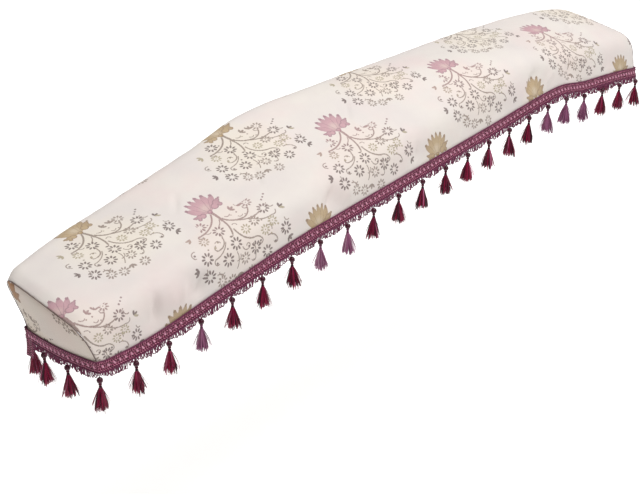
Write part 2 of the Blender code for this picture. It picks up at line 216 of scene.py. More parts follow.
# %% [markdown]
# ## Broad folds
#
# The cloth hangs in broad slanting troughs on its front wall, with low ridges beside a few of them,
# and some more lie on its top and back. The solids have them too. Each is a soft hump of depth with a
# length, a width and a lean, so one short list describes them all.

# %% Broad folds
class Fold(NamedTuple):
    """A soft trough of the cloth, or a low ridge where its depth is negative."""
    x: float              # middle of the fold, along the cover
    up: float             # and its distance from the front hem, measured over the cloth
    run: float            # half its length
    wide: float           # half its width
    lean: float           # degrees from straight up the cloth, towards the far end
    depth: float


FOLDS = (
    Fold(-0.690, 0.045, 0.070, 0.050, -20, 0.0045),
    Fold(-0.635, 0.050, 0.080, 0.040, -35, -0.0025),
    Fold(-0.585, 0.050, 0.075, 0.045, -35, 0.0045),
    Fold(-0.420, 0.040, 0.070, 0.055, -20, 0.0025),
    Fold(-0.225, 0.055, 0.090, 0.055, -40, 0.0040),
    Fold(-0.160, 0.050, 0.080, 0.045, -35, -0.0020),
    Fold(0.050, 0.040, 0.070, 0.060, 20, 0.0025),
    Fold(0.300, 0.045, 0.070, 0.055, -25, 0.0025),
    Fold(0.445, 0.060, 0.100, 0.050, -50, 0.0040),
    Fold(0.575, 0.050, 0.080, 0.050, 15, 0.0035),
    Fold(0.700, 0.045, 0.070, 0.045, 25, 0.0025),
    Fold(-0.560, 0.410, 0.080, 0.060, 20, 0.0035),
    Fold(-0.080, 0.430, 0.080, 0.060, -20, 0.0035),
    Fold(0.330, 0.410, 0.080, 0.060, 25, 0.0035),
    Fold(-0.480, 0.190, 0.150, 0.060, 60, 0.0020),
    Fold(0.120, 0.170, 0.160, 0.060, -60, 0.0020),
)
print(len(FOLDS), "broad folds, the deepest", 1000 * max(fold.depth for fold in FOLDS), "mm deep")

# %% [markdown]
# ## Reading the table
#
# One column of the table is read on a smooth curve through its rows, so the section between two rows
# has no kink. Straight lines between the rows would be simpler, but each row would show as a crease.

# %% Reading a section
def blend_column(column, x):
    """Read one column of the table at x, on a smooth curve through its rows."""
    xs = [row.x for row in SECTIONS]
    ys = [getattr(row, column) for row in SECTIONS]
    i = max(0, min(len(xs) - 2, sum(1 for place in xs[1:-1] if place <= x)))

    def slope(k):
        low = max(k - 1, 0)
        high = min(k + 1, len(xs) - 1)
        return (ys[high] - ys[low]) / (xs[high] - xs[low])

    span = xs[i + 1] - xs[i]
    t = (x - xs[i]) / span
    rise = ys[i + 1] - ys[i]
    a = slope(i) * span - rise
    b = rise - slope(i + 1) * span
    return ys[i] + rise * t + t * (1 - t) * (a * (1 - t) + b * t)


def section_at(x):
    """The section at any x."""
    return Section(*(x if name == "x" else blend_column(name, x) for name in Section._fields))


print("the ridge is", round(section_at(0.1).ridge, 4), "m over the hem at x = 0.1")

# %% [markdown]
# ## A line over the cloth
#
# The line over the cloth goes up the front wall, round a soft shoulder, over the ridge and down the
# back. Each corner is a short curve with three control points, which stays inside the corner that the
# table gives. The line is measured from the front hem, because cloth is cut by length and not by
# height.

# %% A line over the cloth
BRAID_WIDTH = 0.025
FRONT_ROUND = 0.040      # how far a soft corner reaches to either side
RIDGE_ROUND = 0.070
BACK_ROUND = 0.034
CORNER_STEPS = 10
CORNER_SHARE = 0.48      # of a side, the most that a corner's curve takes up
GAP_EASE = 0.13          # how much wider the first gap between tassels is than the middle ones


def soft_corner(before, corner, after, reach):
    """Points along the curve that turns a corner, from reach before it to reach after it."""
    start = corner + (before - corner).normalized() * min(reach, CORNER_SHARE * (before - corner).length)
    end = corner + (after - corner).normalized() * min(reach, CORNER_SHARE * (after - corner).length)
    turn = [k / CORNER_STEPS for k in range(CORNER_STEPS + 1)]
    return [start * (1 - t) ** 2 + corner * 2 * t * (1 - t) + end * t * t for t in turn]


def girth_line(x):
    """The section at x as flat points, from the front hem over the top to the back hem."""
    s = section_at(x)
    hem = Vector((s.front, s.hem))
    shoulder = Vector((s.front + s.shoulder_in, s.shoulder))
    ridge = Vector((s.ridge_y, s.ridge))
    back_shoulder = Vector((s.back - s.back_shoulder_in, s.back_shoulder))
    back_braid = Vector((s.back, s.back_hem + BRAID_WIDTH))
    back_hem = Vector((s.back, s.back_hem))
    line = [hem]
    line += soft_corner(hem, shoulder, ridge, FRONT_ROUND)
    line += soft_corner(shoulder, ridge, back_shoulder, RIDGE_ROUND)
    line += soft_corner(ridge, back_shoulder, back_braid, BACK_ROUND)
    line += [back_braid, back_hem]
    return line


def measured(line):
    """How far each point of a line is from its start."""
    far = [0.0]
    for a, b in zip(line, line[1:]):
        far.append(far[-1] + (b - a).length)
    return far


def measured_round(points):
    """The same for a closed line, with its start counted again as its end."""
    ring = [Vector(point) for point in points]
    return measured(ring + ring[:1])


def at_distance(line, far, want):
    """The point of a measured line at one distance from its start, and the line's direction there."""
    k = max(0, min(len(line) - 2, sum(1 for place in far[1:-1] if place <= want)))
    share = (want - far[k]) / (far[k + 1] - far[k])
    return line[k].lerp(line[k + 1], share), (line[k + 1] - line[k]).normalized()


def along(part):
    """The x of a part of the cover's length: the gaps between tassels narrow towards the far end."""
    return NEAR_X + LENGTH * (part + GAP_EASE * part * (1 - part))


middle_girth = measured(girth_line(0.0))[-1]
print("the cloth is", round(middle_girth, 3), "m from hem to hem at the middle")

# %% [markdown]
# ## Fine creases
#
# Over the broad folds go fine creases, the deepest of them low on the front wall. A cloth simulation
# would give creases of its own choosing. Here they have to lie where the real ones do, so each is
# given as a narrow line with a depth.

# %% Fine creases
CREASE_STRENGTH = 1.9    # how much deeper all of them are than listed


def ease(part):
    """A soft hump, 1 in the middle and 0 from one width out."""
    return math.cos(min(1.0, abs(part)) * math.pi / 2) ** 2


def fade(far, reach):
    """A straight fall from 1 at no distance to 0 at its reach."""
    return max(0.0, 1 - far / reach)


def within(value):
    """A number kept between 0 and 1."""
    return max(0.0, min(1.0, value))


class Crease(NamedTuple):
    """A narrow crease in the cloth from one place to another, as x and distance from the front hem."""
    x0: float
    up0: float
    x1: float
    up1: float
    wide: float
    depth: float


CREASES = (
    Crease(-0.700, 0.030, -0.672, 0.105, 0.013, 0.0036),
    Crease(-0.640, 0.028, -0.600, 0.090, 0.012, -0.0026),
    Crease(-0.600, 0.030, -0.548, 0.082, 0.013, 0.0040),
    Crease(-0.520, 0.200, -0.462, 0.262, 0.010, 0.0020),
    Crease(-0.330, 0.150, -0.300, 0.215, 0.010, 0.0018),
    Crease(-0.255, 0.030, -0.190, 0.092, 0.014, 0.0038),
    Crease(-0.215, 0.028, -0.140, 0.070, 0.011, -0.0022),
    Crease(-0.060, 0.180, 0.010, 0.260, 0.010, 0.0020),
    Crease(0.020, 0.030, 0.052, 0.078, 0.011, 0.0022),
    Crease(0.170, 0.032, 0.205, 0.096, 0.011, 0.0020),
    Crease(0.395, 0.030, 0.470, 0.096, 0.014, 0.0036),
    Crease(0.455, 0.028, 0.520, 0.070, 0.011, -0.0020),
    Crease(0.560, 0.030, 0.585, 0.090, 0.012, 0.0028),
    Crease(0.650, 0.150, 0.720, 0.200, 0.011, 0.0020),
    Crease(-0.600, 0.330, -0.540, 0.405, 0.012, 0.0018),
    Crease(-0.130, 0.360, -0.070, 0.445, 0.012, 0.0018),
    Crease(0.300, 0.350, 0.360, 0.430, 0.012, 0.0018),
)
print(len(CREASES), "fine creases")

# %% [markdown]
# ## Pressing the cloth in
#
# A place on the cloth is pressed in by the sum of four things: the broad folds, the fine creases, a
# slow noise that keeps the surface from being even, and the short puckers that a seam pulls into the
# cloth beside it. Near the braids, which are stiff, it all fades out. At the end seams the edge of the
# cloth rolls in a little.

# %% Pressing in
FOLD_FADE = 0.020        # length over which the folds fade towards a braid
ROUGH_DEPTH = 0.000765   # of the slow noise
PUCKER_DEPTH = 0.0009
PUCKER_REACH = 0.030     # how far from a seam the puckers run
PUCKER_WIDTH = 0.019
SEAM_ROLL = 0.0016       # how far the cloth's edge turns in at the seam
SEAM_ROLL_REACH = 0.005


def uneven(x, up, size, seed):
    """A slow even noise over the cloth, from -1 to 1, with patches of about one size."""
    return noise.noise(Vector((x / size, up / size, seed)))


def fold_depth(x, up):
    """How deep the broad folds press the cloth in."""
    depth = 0.0
    for fold in FOLDS:
        turn = math.radians(fold.lean)
        aside = x - fold.x
        above = up - fold.up
        along_fold = above * math.cos(turn) + aside * math.sin(turn)
        across_fold = aside * math.cos(turn) - above * math.sin(turn)
        depth += fold.depth * ease(along_fold / fold.run) * ease(across_fold / fold.wide)
    return depth


def crease_depth(x, up):
    """How deep the fine creases and the noise press the cloth in."""
    depth = 0.0
    for crease in CREASES:
        run = Vector((crease.x1 - crease.x0, crease.up1 - crease.up0))
        place = Vector((x - crease.x0, up - crease.up0))
        share = place.dot(run) / run.length_squared
        aside = abs(place.cross(run)) / run.length
        shape = ease(2 * share - 1) * ease(aside / crease.wide) if 0 < share < 1 else 0.0
        depth += CREASE_STRENGTH * crease.depth * shape
    rough = uneven(x, up, 0.045, 2.0) + 0.5 * uneven(x, up, 0.020, 5.0)
    return depth + ROUGH_DEPTH * rough


def pucker_depth(x, up):
    """How deep the seams at the two ends pull the cloth in."""
    from_seam = min(x - NEAR_X, FAR_X - x)
    beat = math.sin(math.tau * up / PUCKER_WIDTH + 2.5 * uneven(up, x, 0.06, 9.0))
    return PUCKER_DEPTH * fade(from_seam, PUCKER_REACH) ** 2 * beat * (0.6 + 0.4 * uneven(x, up, 0.05, 3.0))


def press_in(x, up, girth):
    """All unevenness at one place of the long cloth. It fades out at the stiff braids."""
    loose = within((min(up, girth - up) - BRAID_WIDTH) / FOLD_FADE)
    roll = SEAM_ROLL * fade(min(x - NEAR_X, FAR_X - x), SEAM_ROLL_REACH) ** 2
    return roll + loose * (fold_depth(x, up) + crease_depth(x, up) + pucker_depth(x, up))


print("puckers within", PUCKER_REACH, "m of a seam")

# %% [markdown]
# ## Drawing the ends in
#
# The cover fits closely, so at the near end its hem is drawn in and the wall above it slopes. The hem
# is drawn in more at the front corner than at the back one, and bows out in between. The far end is
# drawn in only a little. All pieces of the cover pass through the one function below on their way into
# the frame, so cloth, braid and fringe stay together.

# %% Drawing in
MOUNT_HEIGHT = 0.1188    # the underside of the top over the mid-length hem
NEAR_TUCK = 0.023        # how far the near end is drawn in at its hem, at the front corner
NEAR_SKEW = 0.010        # and how much less at the back corner
NEAR_BOW = 0.008         # how far that hem bows out between its corners
TUCK_FULL = 0.75         # share of the way down to the hem from which the cloth hangs plumb
NEAR_REACH = 0.50        # length over which the long cloth follows that tuck
FAR_TUCK = 0.004
FAR_REACH = 0.10


def tucked(x, y, height):
    """A point of the cloth in the frame, drawn in towards the hem near an end."""
    top = max(blend_column("ridge", x), blend_column("back_shoulder", x))
    low = max(0.0, top - height) / (top - blend_column("hem", x))
    front = blend_column("front", x)
    across = within((y - front) / (blend_column("back", x) - front))
    full = min(1.0, low / TUCK_FULL)
    tuck = NEAR_TUCK - NEAR_SKEW * across - 4 * NEAR_BOW * across * (1 - across)
    near = fade(x - NEAR_X, NEAR_REACH)
    far = fade(FAR_X - x, FAR_REACH)
    shift = full * (tuck * near * near - FAR_TUCK * far * far)
    return Vector((x + shift, y, height - MOUNT_HEIGHT))


front_corner_hem = tucked(NEAR_X, SECTIONS[0].front, SECTIONS[0].hem)
print("the near front corner of the hem is at", tuple(round(v, 3) for v in front_corner_hem))

# %% [markdown]
# ## A sheet that remembers how it was cut
#
# A woven figure belongs to the flat cloth, so every point of the sheet also stores where it was
# before it was draped: metres along the cloth and metres up from its front hem. That pair is the
# sheet's UV map. The sheet itself starts as an even grid, and its points are moved to where the
# cloth hangs. Solidify then gives it its thickness on the inside.

# %% Laying a sheet
CLOTH = 0.002            # thickness of the cloth
GIRTH_CELLS = 84
LONG_CELLS = 270
SEAM_PARTS = (0.0006, 0.0014, 0.0024)    # extra rows of points close to a seam


def cut_grid(rows, columns, flat_at):
    """A grid with its cut position as its UV map, and the row and column of each of its points."""
    bm = bmesh.new()
    bmesh.ops.create_grid(bm, x_segments=rows, y_segments=columns, size=0.5)
    cut = bm.loops.layers.uv.new("cut")
    cell = {}
    for vert in bm.verts:
        cell[vert] = (round((vert.co.x + 0.5) * rows), round((vert.co.y + 0.5) * columns))
    for face in bm.faces:
        for loop in face.loops:
            loop[cut].uv = flat_at(*cell[loop.vert])
    return bm, cell


def laid_sheet(places, flat, faces_out):
    """A grid of cloth with its points at places[row][column], and flat[row][column] as its UV map."""
    bm, cell = cut_grid(len(places) - 1, len(places[0]) - 1, lambda row, column: flat[row][column])
    for vert, (row, column) in cell.items():
        vert.co = places[row][column]
    bmesh.ops.recalc_face_normals(bm, faces=bm.faces)
    outermost = max(bm.faces, key=lambda face: face.calc_center_median().dot(faces_out))
    if outermost.normal.dot(faces_out) < 0:
        bmesh.ops.reverse_faces(bm, faces=bm.faces)
    return bm


def add_piece(name, bm, materials):
    """Make a smooth object of a bmesh."""
    mesh = bpy.data.meshes.new(name)
    bm.to_mesh(mesh)
    bm.free()
    mesh.shade_smooth()
    for material in materials:
        mesh.materials.append(material)
    piece = bpy.data.objects.new(name, mesh)
    bpy.context.scene.collection.objects.link(piece)
    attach(piece, "root")
    return piece


def thicken(piece):
    """Give a sheet its thickness on the inside, and the reverse side of the cloth its own material."""
    wall = piece.modifiers.new("Thickness", "SOLIDIFY")
    wall.thickness = CLOTH
    wall.offset = -1.0
    wall.use_even_offset = True
    wall.material_offset = 1


def area_of(bm):
    """The area of a sheet as it hangs, in square metres."""
    return sum(face.calc_area() for face in bm.faces)


def long_parts():
    """Parts of the cover's length at which the long cloth has a row of points."""
    even = [k / LONG_CELLS for k in range(LONG_CELLS + 1)]
    return sorted([*even, *SEAM_PARTS, *(1 - part for part in SEAM_PARTS)])


print("the long cloth is a grid of", LONG_CELLS, "by", GIRTH_CELLS, "cells")

# %% [markdown]
# ## The figure: a charted bouquet
#
# The jacquard's figure is one bouquet, woven over and over: a palmette for a head, with pointed
# petals and a ragged lobe to either side, stems that fan out below it and end in scrolls, daisies of
# short dashes, a few three-lobed sprigs, and berries. Every row of bouquets is set about halfway
# between those of the next row, and the rows change colour, one pink and one gold.
#
# A picture could be printed on, but a picture has a fixed number of pixels and blurs close up. Here
# the bouquet is a chart of simple marks in millimetres from the foot of its palmette, and the shader
# works out the distance from every point of the cloth to the nearest mark. A stem is an arc, given by
# its two ends and how far it bulges to the left of the straight line between them.

# %% Kinds of marks
class Daisy(NamedTuple):
    """A flower of short dashes round an open middle."""
    across: float
    up: float
    tone: float           # 0 for pale olive thread, 1 for taupe, 2 for plum; a higher one is also larger


class Stem(NamedTuple):
    """An arc of thread."""
    x0: float
    y0: float
    x1: float
    y1: float
    bulge: float
    half_width: float


class Petal(NamedTuple):
    """A pointed petal of the palmette, on its right side. The left side mirrors it."""
    x0: float
    y0: float
    x1: float
    y1: float
    half_width: float


class Spot(NamedTuple):
    """A round mark."""
    across: float
    up: float
    radius: float


class Sprig(NamedTuple):
    """Three small lobes at the end of a stem."""
    across: float
    up: float
    turn: float           # degrees from +across, the way it points


print("a stem is charted by", ", ".join(Stem._fields))

# %% [markdown]
# ## The chart
#
# The chart is seven short lists. The palmette has petals, round spots that run together into a ragged
# lobe to either side, and a bead of thread at each tip. Most stems leave its foot to either side, and
# their scrolls are chains of arcs.

# %% The bouquet's chart
DAISIES = (
    Daisy(71, -24, 1), Daisy(86, -59, 2), Daisy(60, -99, 0), Daisy(106, -121, 2.4), Daisy(23, -74, 0),
    Daisy(-45, -10, 2), Daisy(-66, -43, 0), Daisy(-25, -43, 2), Daisy(-85, -76, 2), Daisy(-13, -86, 2),
    Daisy(-44, -103, 2.4), Daisy(-94, -110, 2.4), Daisy(-5, -123, 1), Daisy(-46, -146, 1), Daisy(4, -156, 1),
    Daisy(50, -141, 2), Daisy(84, -92, 0), Daisy(-70, -134, 1), Daisy(26, -118, 2), Daisy(50, -70, 1),
)
STEMS = (
    Stem(0, 8, 1, -29, 1, 3.6), Stem(-4, 2, -66, -27, 12, 2.5), Stem(1, -29, -8, -67, 2.5, 2.5),
    Stem(-8, -67, -17, -67, 3, 1.5), Stem(-2, -20, -16, -34, 2, 1.5), Stem(2, -58, 30, -98, -9, 2.2),
    Stem(30, -98, 46, -110, 3, 1.8), Stem(46, -110, 36, -113, 6, 1.7), Stem(4, -22, 39, -51, -7, 2.6),
    Stem(39, -51, 64, -35, -4.5, 2.0), Stem(24, -47, 76, -60, -7, 2.0), Stem(48, -62, 92, -82, -6, 1.6),
    Stem(92, -82, 104, -76, -4, 1.5), Stem(-31, -58, -53, -76, 7, 1.8),
    Stem(-53, -76, -54, -65, 6.5, 1.6), Stem(-31, -70, -68, -87, 5, 1.5),
    Stem(-68, -87, -66, -98, -8, 1.5), Stem(-20, -100, -30, -131, 4, 1.5),
    Stem(60, -112, 80, -131, 6, 1.7), Stem(80, -131, 71, -130, 4.5, 1.6),
    Stem(-78, -116, -64, -131, 5, 1.7), Stem(23, -106, 20, -134, 3, 1.5), Stem(20, -134, 9, -134, 5, 1.5),
    Stem(-3, -98, 15, -104, -8.5, 1.5), Stem(15, -104, 6, -103, -4, 1.4),
    Stem(-97, -49, -104, -63, -9, 1.5), Stem(-28, -50, -31, -60, 1, 1.5),
    Stem(92, -122, 101, -128, 5, 1.4), Stem(-66, -27, -58, -33, -5, 1.8), Stem(64, -35, 58, -27, 4, 1.6),
    Stem(-60, -120, -72, -112, 5, 1.5), Stem(66, -94, 74, -106, 5, 1.5),
    Stem(-14, -108, -26, -116, 5, 1.5), Stem(100, -56, 108, -66, -5, 1.5),
    Stem(12, -22, 24, -24, -4, 1.3), Stem(33, -40, 44, -42, -4, 1.3), Stem(6, -50, 14, -56, 4, 1.3),
    Stem(-52, -60, -42, -66, 4, 1.3), Stem(-48, -30, -38, -34, -3, 1.4),
    Stem(112, -100, 120, -108, -4, 1.4), Stem(-96, -92, -104, -100, 4, 1.4),
    Stem(96, -62, 102, -52, 3, 1.3),
)
PETALS = (Petal(1, 4, 8, 62, 7.8), Petal(2, 5, 23, 57, 8.2), Petal(3, 6, 37, 44, 8.0))
LOBES = (
    Spot(-17, 9, 7.0), Spot(-25, 12, 6.5), Spot(-32, 14, 4.0), Spot(-28, 6, 4.5), Spot(-36, 16, 2.4),
    Spot(18, 12, 8.5), Spot(27, 18, 8.0), Spot(34, 22, 5.0), Spot(30, 9, 5.5), Spot(40, 25, 2.6),
    Spot(0, 7, 5.5),
)
TIPS = (
    Spot(-7, 56, 3.5), Spot(7, 56, 3.5), Spot(21, 52, 3.8), Spot(-21, 52, 3.6), Spot(33, 41, 3.8),
    Spot(-33, 41, 3.8),
)
SPRIGS = (
    Sprig(-81, -20, 172), Sprig(31, -18, 20), Sprig(114, -79, 20), Sprig(-112, -88, 160),
    Sprig(108, -140, -60), Sprig(-22, -142, 250), Sprig(52, -22, 60),
)
BERRIES = (
    Spot(100, -40, 2.4), Spot(107, -36, 2.2), Spot(114, -31, 2.4), Spot(-104, -56, 2.6), Spot(-57, -68, 2.4),
    Spot(41, -112, 2.6), Spot(75, -132, 2.4), Spot(-70, -95, 2.6), Spot(11, -106, 2.2), Spot(-14, -69, 2.2),
    Spot(92, -104, 2.4), Spot(64, -78, 2.2), Spot(-36, -84, 2.0), Spot(14, -138, 2.2), Spot(38, -30, 2.0),
    Spot(-30, -16, 2.0), Spot(-72, -62, 2.0), Spot(70, -112, 2.0), Spot(76, -98, 2.6), Spot(24, -29, 1.8),
    Spot(-46, -62, 2.2), Spot(48, -46, 1.8),
)
print(len(DAISIES), "daisies,", len(STEMS), "stems,", len(PETALS), "petals a side,", len(SPRIGS), "sprigs")

# %% [markdown]
# ## A short way to write shader nodes
#
# Every material below is a graph of nodes. Wiring each node by hand takes five lines, so this helper
# adds one and plugs in its values, which may be numbers or the outputs of nodes made before it. The
# graph is then written like a sum.

# %% Shader helper
class Graph:
    """Adds nodes to a shader and plugs in their values."""

    def __init__(self, tree):
        self.tree = tree

    def add(self, kind, *values, **settings):
        """A new node, with its settings made and its open inputs filled in order."""
        node = self.tree.nodes.new(kind)
        for name, value in settings.items():
            setattr(node, name, value)
        for socket, value in zip([socket for socket in node.inputs if socket.enabled], values):
            self.plug(socket, value)
        return node

    def plug(self, socket, value):
        """Fill an input with a number, a colour or another node's output."""
        if isinstance(value, bpy.types.NodeSocket):
            self.tree.links.new(value, socket)
        elif value is not None:
            socket.default_value = value

    def math(self, operation, *values):
        """One sum on plain numbers."""
        return self.add("ShaderNodeMath", *values, operation=operation).outputs[0]

    def times(self, *values):
        """One number times another."""
        return self.math("MULTIPLY", *values)

    def minus(self, *values):
        """One number less another."""
        return self.math("SUBTRACT", *values)

    def most(self, *values):
        """The larger of two numbers."""
        return self.math("MAXIMUM", *values)

    def vector(self, operation, *values):
        """One sum on places or directions."""
        node = self.add("ShaderNodeVectorMath", *values, operation=operation)
        number = operation in ("LENGTH", "DISTANCE", "DOT_PRODUCT")
        return node.outputs["Value" if number else "Vector"]

    def place(self, x, y, z=0.0):
        """A place from its numbers."""
        return self.add("ShaderNodeCombineXYZ", x, y, z).outputs[0]

    def parts(self, place):
        """The numbers of a place."""
        return self.add("ShaderNodeSeparateXYZ", place).outputs

    def mix(self, share, a, b, kind="FLOAT"):
        """From a to b: a number, or with its kind named, a VECTOR or an RGBA colour."""
        node = self.tree.nodes.new("ShaderNodeMix")
        node.data_type = kind
        for socket, value in zip([socket for socket in node.inputs if socket.enabled], (share, a, b)):
            self.plug(socket, value)
        return next(socket for socket in node.outputs if socket.enabled)

    def colour(self, share, a, b):
        """From one colour to another."""
        return self.mix(share, a, b, "RGBA")

    def step(self, value, low, high):
        """0 below low, 1 above high, and a straight ramp between them."""
        return self.add("ShaderNodeMapRange", value, low, high, 0.0, 1.0).outputs[0]

    def noise(self, place, scale, detail=2.0, rough=0.5):
        """A cloudy noise from 0 to 1."""
        node = self.add("ShaderNodeTexNoise", noise_dimensions="3D")
        for title, value in zip(("Vector", "Scale", "Detail", "Roughness"), (place, scale, detail, rough)):
            self.plug(node.inputs[title], value)
        return node.outputs["Fac"]

    def cut(self):
        """The place on the flat cloth, or along and across a band, in metres."""
        return self.add("ShaderNodeUVMap", uv_map="cut").outputs[0]

    def where(self):
        """The place on the object itself."""
        return self.add("ShaderNodeTexCoord").outputs["Object"]

    def relief(self, shader, height, strength, distance):
        """Let a height show as relief on a shader."""
        bump = self.add("ShaderNodeBump")
        bump.inputs["Strength"].default_value = strength
        bump.inputs["Distance"].default_value = distance
        self.plug(bump.inputs["Height"], height)
        self.plug(shader.inputs["Normal"], bump.outputs[0])


print("the shader helper is ready")

# %% [markdown]
# ## Materials and groups
#
# A material starts with one shader whose inputs are set by their names, and everything else is added
# to its graph. The woven figure is used by three materials, so it is kept in node groups. A group is
# made once, and a change to it reaches every cloth.

# %% Materials and groups
def settle(node, values):
    """Set inputs of a node by their names."""
    for title, value in values.items():
        node.inputs[title].default_value = value


def new_material(name):
    """A material with its graph and its shader."""
    material = bpy.data.materials.new(name)
    material.use_nodes = True
    return material, Graph(material.node_tree), material.node_tree.nodes["Principled BSDF"]


def new_group(name, inputs, outputs):
    """An empty node group with named inputs and outputs: its graph, its inputs, and its output node."""
    tree = bpy.data.node_groups.new(name, "ShaderNodeTree")
    for title, kind in inputs:
        tree.interface.new_socket(title, in_out="INPUT", socket_type=kind)
    for title, kind in outputs:
        tree.interface.new_socket(title, in_out="OUTPUT", socket_type=kind)
    graph = Graph(tree)
    return graph, graph.add("NodeGroupInput").outputs


NUMBER = "NodeSocketFloat"
PLACE = "NodeSocketVector"
print("groups hand on two kinds of values:", NUMBER, "and", PLACE)

# %% [markdown]
# ## Weaving the stems
#
# The marks are woven by depth: a place is given in millimetres from the foot of the palmette, and each
# function says how deep it lies inside a kind of mark. Above 0 it is on thread. For an arc that depth
# is half the thread's width less the distance from the circle, and it is cut off past the two ends.

# %% Stems of the figure
OUTSIDE = -50.0          # mm, a depth far outside every mark
STEM_SHARE = 0.8         # how much of its charted width a stem keeps in thread


def arc_through(stem):
    """The centre and radius of a stem's arc, the way to its middle, and half the angle that it spans."""
    start = Vector((stem.x0, stem.y0, 0))
    end = Vector((stem.x1, stem.y1, 0))
    chord = end - start
    left = Vector((-chord.y, chord.x, 0)).normalized()
    side = left if stem.bulge > 0 else -left
    bulge = abs(stem.bulge)
    radius = (chord.length_squared / 4 + bulge * bulge) / (2 * bulge)
    centre = (start + end) / 2 - side * (radius - bulge)
    return centre, radius, side, 2 * math.atan2(2 * bulge, chord.length)


def stems_depth(g, place):
    """How deep a place lies inside the nearest stem."""
    deepest = OUTSIDE
    for stem in STEMS:
        centre, radius, side, half_angle = arc_through(stem)
        aside = g.vector("SUBTRACT", place, centre)
        reach = g.vector("LENGTH", aside)
        toward = g.vector("DOT_PRODUCT", aside, side / math.sin(half_angle))
        inside = g.math("MULTIPLY_ADD", reach, -1 / math.tan(half_angle), toward)
        off = g.math("ABSOLUTE", g.minus(reach, radius))
        depth = g.math("MINIMUM", g.minus(stem.half_width * STEM_SHARE, off), inside)
        deepest = g.most(deepest, depth)
    return deepest


print("stems keep", STEM_SHARE, "of their charted width")

# %% [markdown]
# ## Weaving the flowers, sprigs and berries
#
# For the daisies the shader first finds the nearest one and then draws a single dash, folded round the
# middle nine times, so twenty flowers cost little more than one. A sprig is drawn in the same way, with
# only the three lobes that point ahead. Each centre carries one more number in its third place, which
# is the tone of a daisy or the turn of a sprig. Berries are plain discs.

# %% Flowers of the figure
DASHES = 9
DASH_MIDDLE = 9.1        # mm from the middle of a daisy to the middle of a dash
DASH_HALF_LENGTH = 4.1
DASH_HALF_WIDTH = 2.15
DAISY_DOT = 1.8
DAISY_SIZE = 0.88        # of a daisy of tone 0, against these measures
DAISY_GROWTH = 0.09      # and how much larger for each step of tone
SPRIG_LOBES = 8          # lobes in a full turn, of which a sprig shows three
SPRIG_MIDDLE = 6.5
SPRIG_HALF_LENGTH = 6.2
SPRIG_HALF_WIDTH = 2.7


def nearest(g, place, centres):
    """From the nearest of some centres to a place, and how far it is."""
    best = g.vector("SUBTRACT", place, centres[0])
    least = g.vector("LENGTH", best)
    for centre in centres[1:]:
        aside = g.vector("SUBTRACT", place, centre)
        reach = g.vector("LENGTH", aside)
        closer = g.math("LESS_THAN", reach, least)
        best = g.mix(closer, best, aside, "VECTOR")
        least = g.math("MINIMUM", least, reach)
    return best, least


def dash_depth(g, angle, reach, count, middle, half_length, half_width):
    """How deep a place lies inside one of the dashes that stand round a centre."""
    half_turn = math.pi / count
    folded = g.math("WRAP", angle, half_turn, -half_turn)
    out = g.times(reach, g.math("COSINE", folded))
    aside = g.times(reach, g.math("SINE", folded))
    out = g.math("DIVIDE", g.minus(out, middle), half_length)
    aside = g.math("DIVIDE", aside, half_width)
    size = g.vector("LENGTH", g.place(out, aside))
    return g.times(g.minus(1.0, size), half_width)


def daisies_depth(g, place):
    """How deep a place lies inside a daisy's thread, and the tone of that thread."""
    aside, reach = nearest(g, place, [Vector((d.across, d.up, d.tone)) for d in DAISIES])
    x, y, minus_tone = g.parts(aside)
    tone = g.times(minus_tone, -1.0)
    size = g.math("MULTIPLY_ADD", tone, DAISY_GROWTH, DAISY_SIZE)
    reach = g.math("DIVIDE", reach, size)
    angle = g.math("ARCTAN2", y, x)
    dash = dash_depth(g, angle, reach, DASHES, DASH_MIDDLE, DASH_HALF_LENGTH, DASH_HALF_WIDTH)
    dot = g.minus(DAISY_DOT, reach)
    return g.most(dash, dot), tone


def sprigs_depth(g, place):
    """How deep a place lies inside a sprig's three lobes."""
    centres = [Vector((s.across, s.up, (s.turn % 360) / 360)) for s in SPRIGS]
    aside, reach = nearest(g, place, centres)
    x, y, minus_turn = g.parts(aside)
    angle = g.math("MULTIPLY_ADD", minus_turn, math.tau, g.math("ARCTAN2", y, x))
    angle = g.math("WRAP", angle, math.pi, -math.pi)
    lobe = dash_depth(g, angle, reach, SPRIG_LOBES, SPRIG_MIDDLE, SPRIG_HALF_LENGTH, SPRIG_HALF_WIDTH)
    ahead = g.math("LESS_THAN", g.math("ABSOLUTE", angle), 1.5 * math.tau / SPRIG_LOBES)
    return g.mix(ahead, -5.0, lobe)


def spots_depth(g, place, spots):
    """How deep a place lies inside the nearest of some round marks."""
    deepest = OUTSIDE
    for spot in spots:
        reach = g.vector("DISTANCE", place, Vector((spot.across, spot.up, 0)))
        deepest = g.most(deepest, g.minus(spot.radius, reach))
    return deepest


print("a daisy is", round(2 * DAISY_SIZE * (DASH_MIDDLE + DASH_HALF_LENGTH), 1), "mm wide or more")

# %% [markdown]
# ## Weaving the palmette
#
# A petal is the part that two equal circles share, so it is pointed at both ends. The crown is drawn
# on one side only and mirrored. Where two petals meet, and round the lobes and the beads at the tips,
# a darker rim is woven, which the group hands out as a vein. The whole bouquet is then one group with
# four outputs: depth in thread, tone, depth in the palmette, and vein.

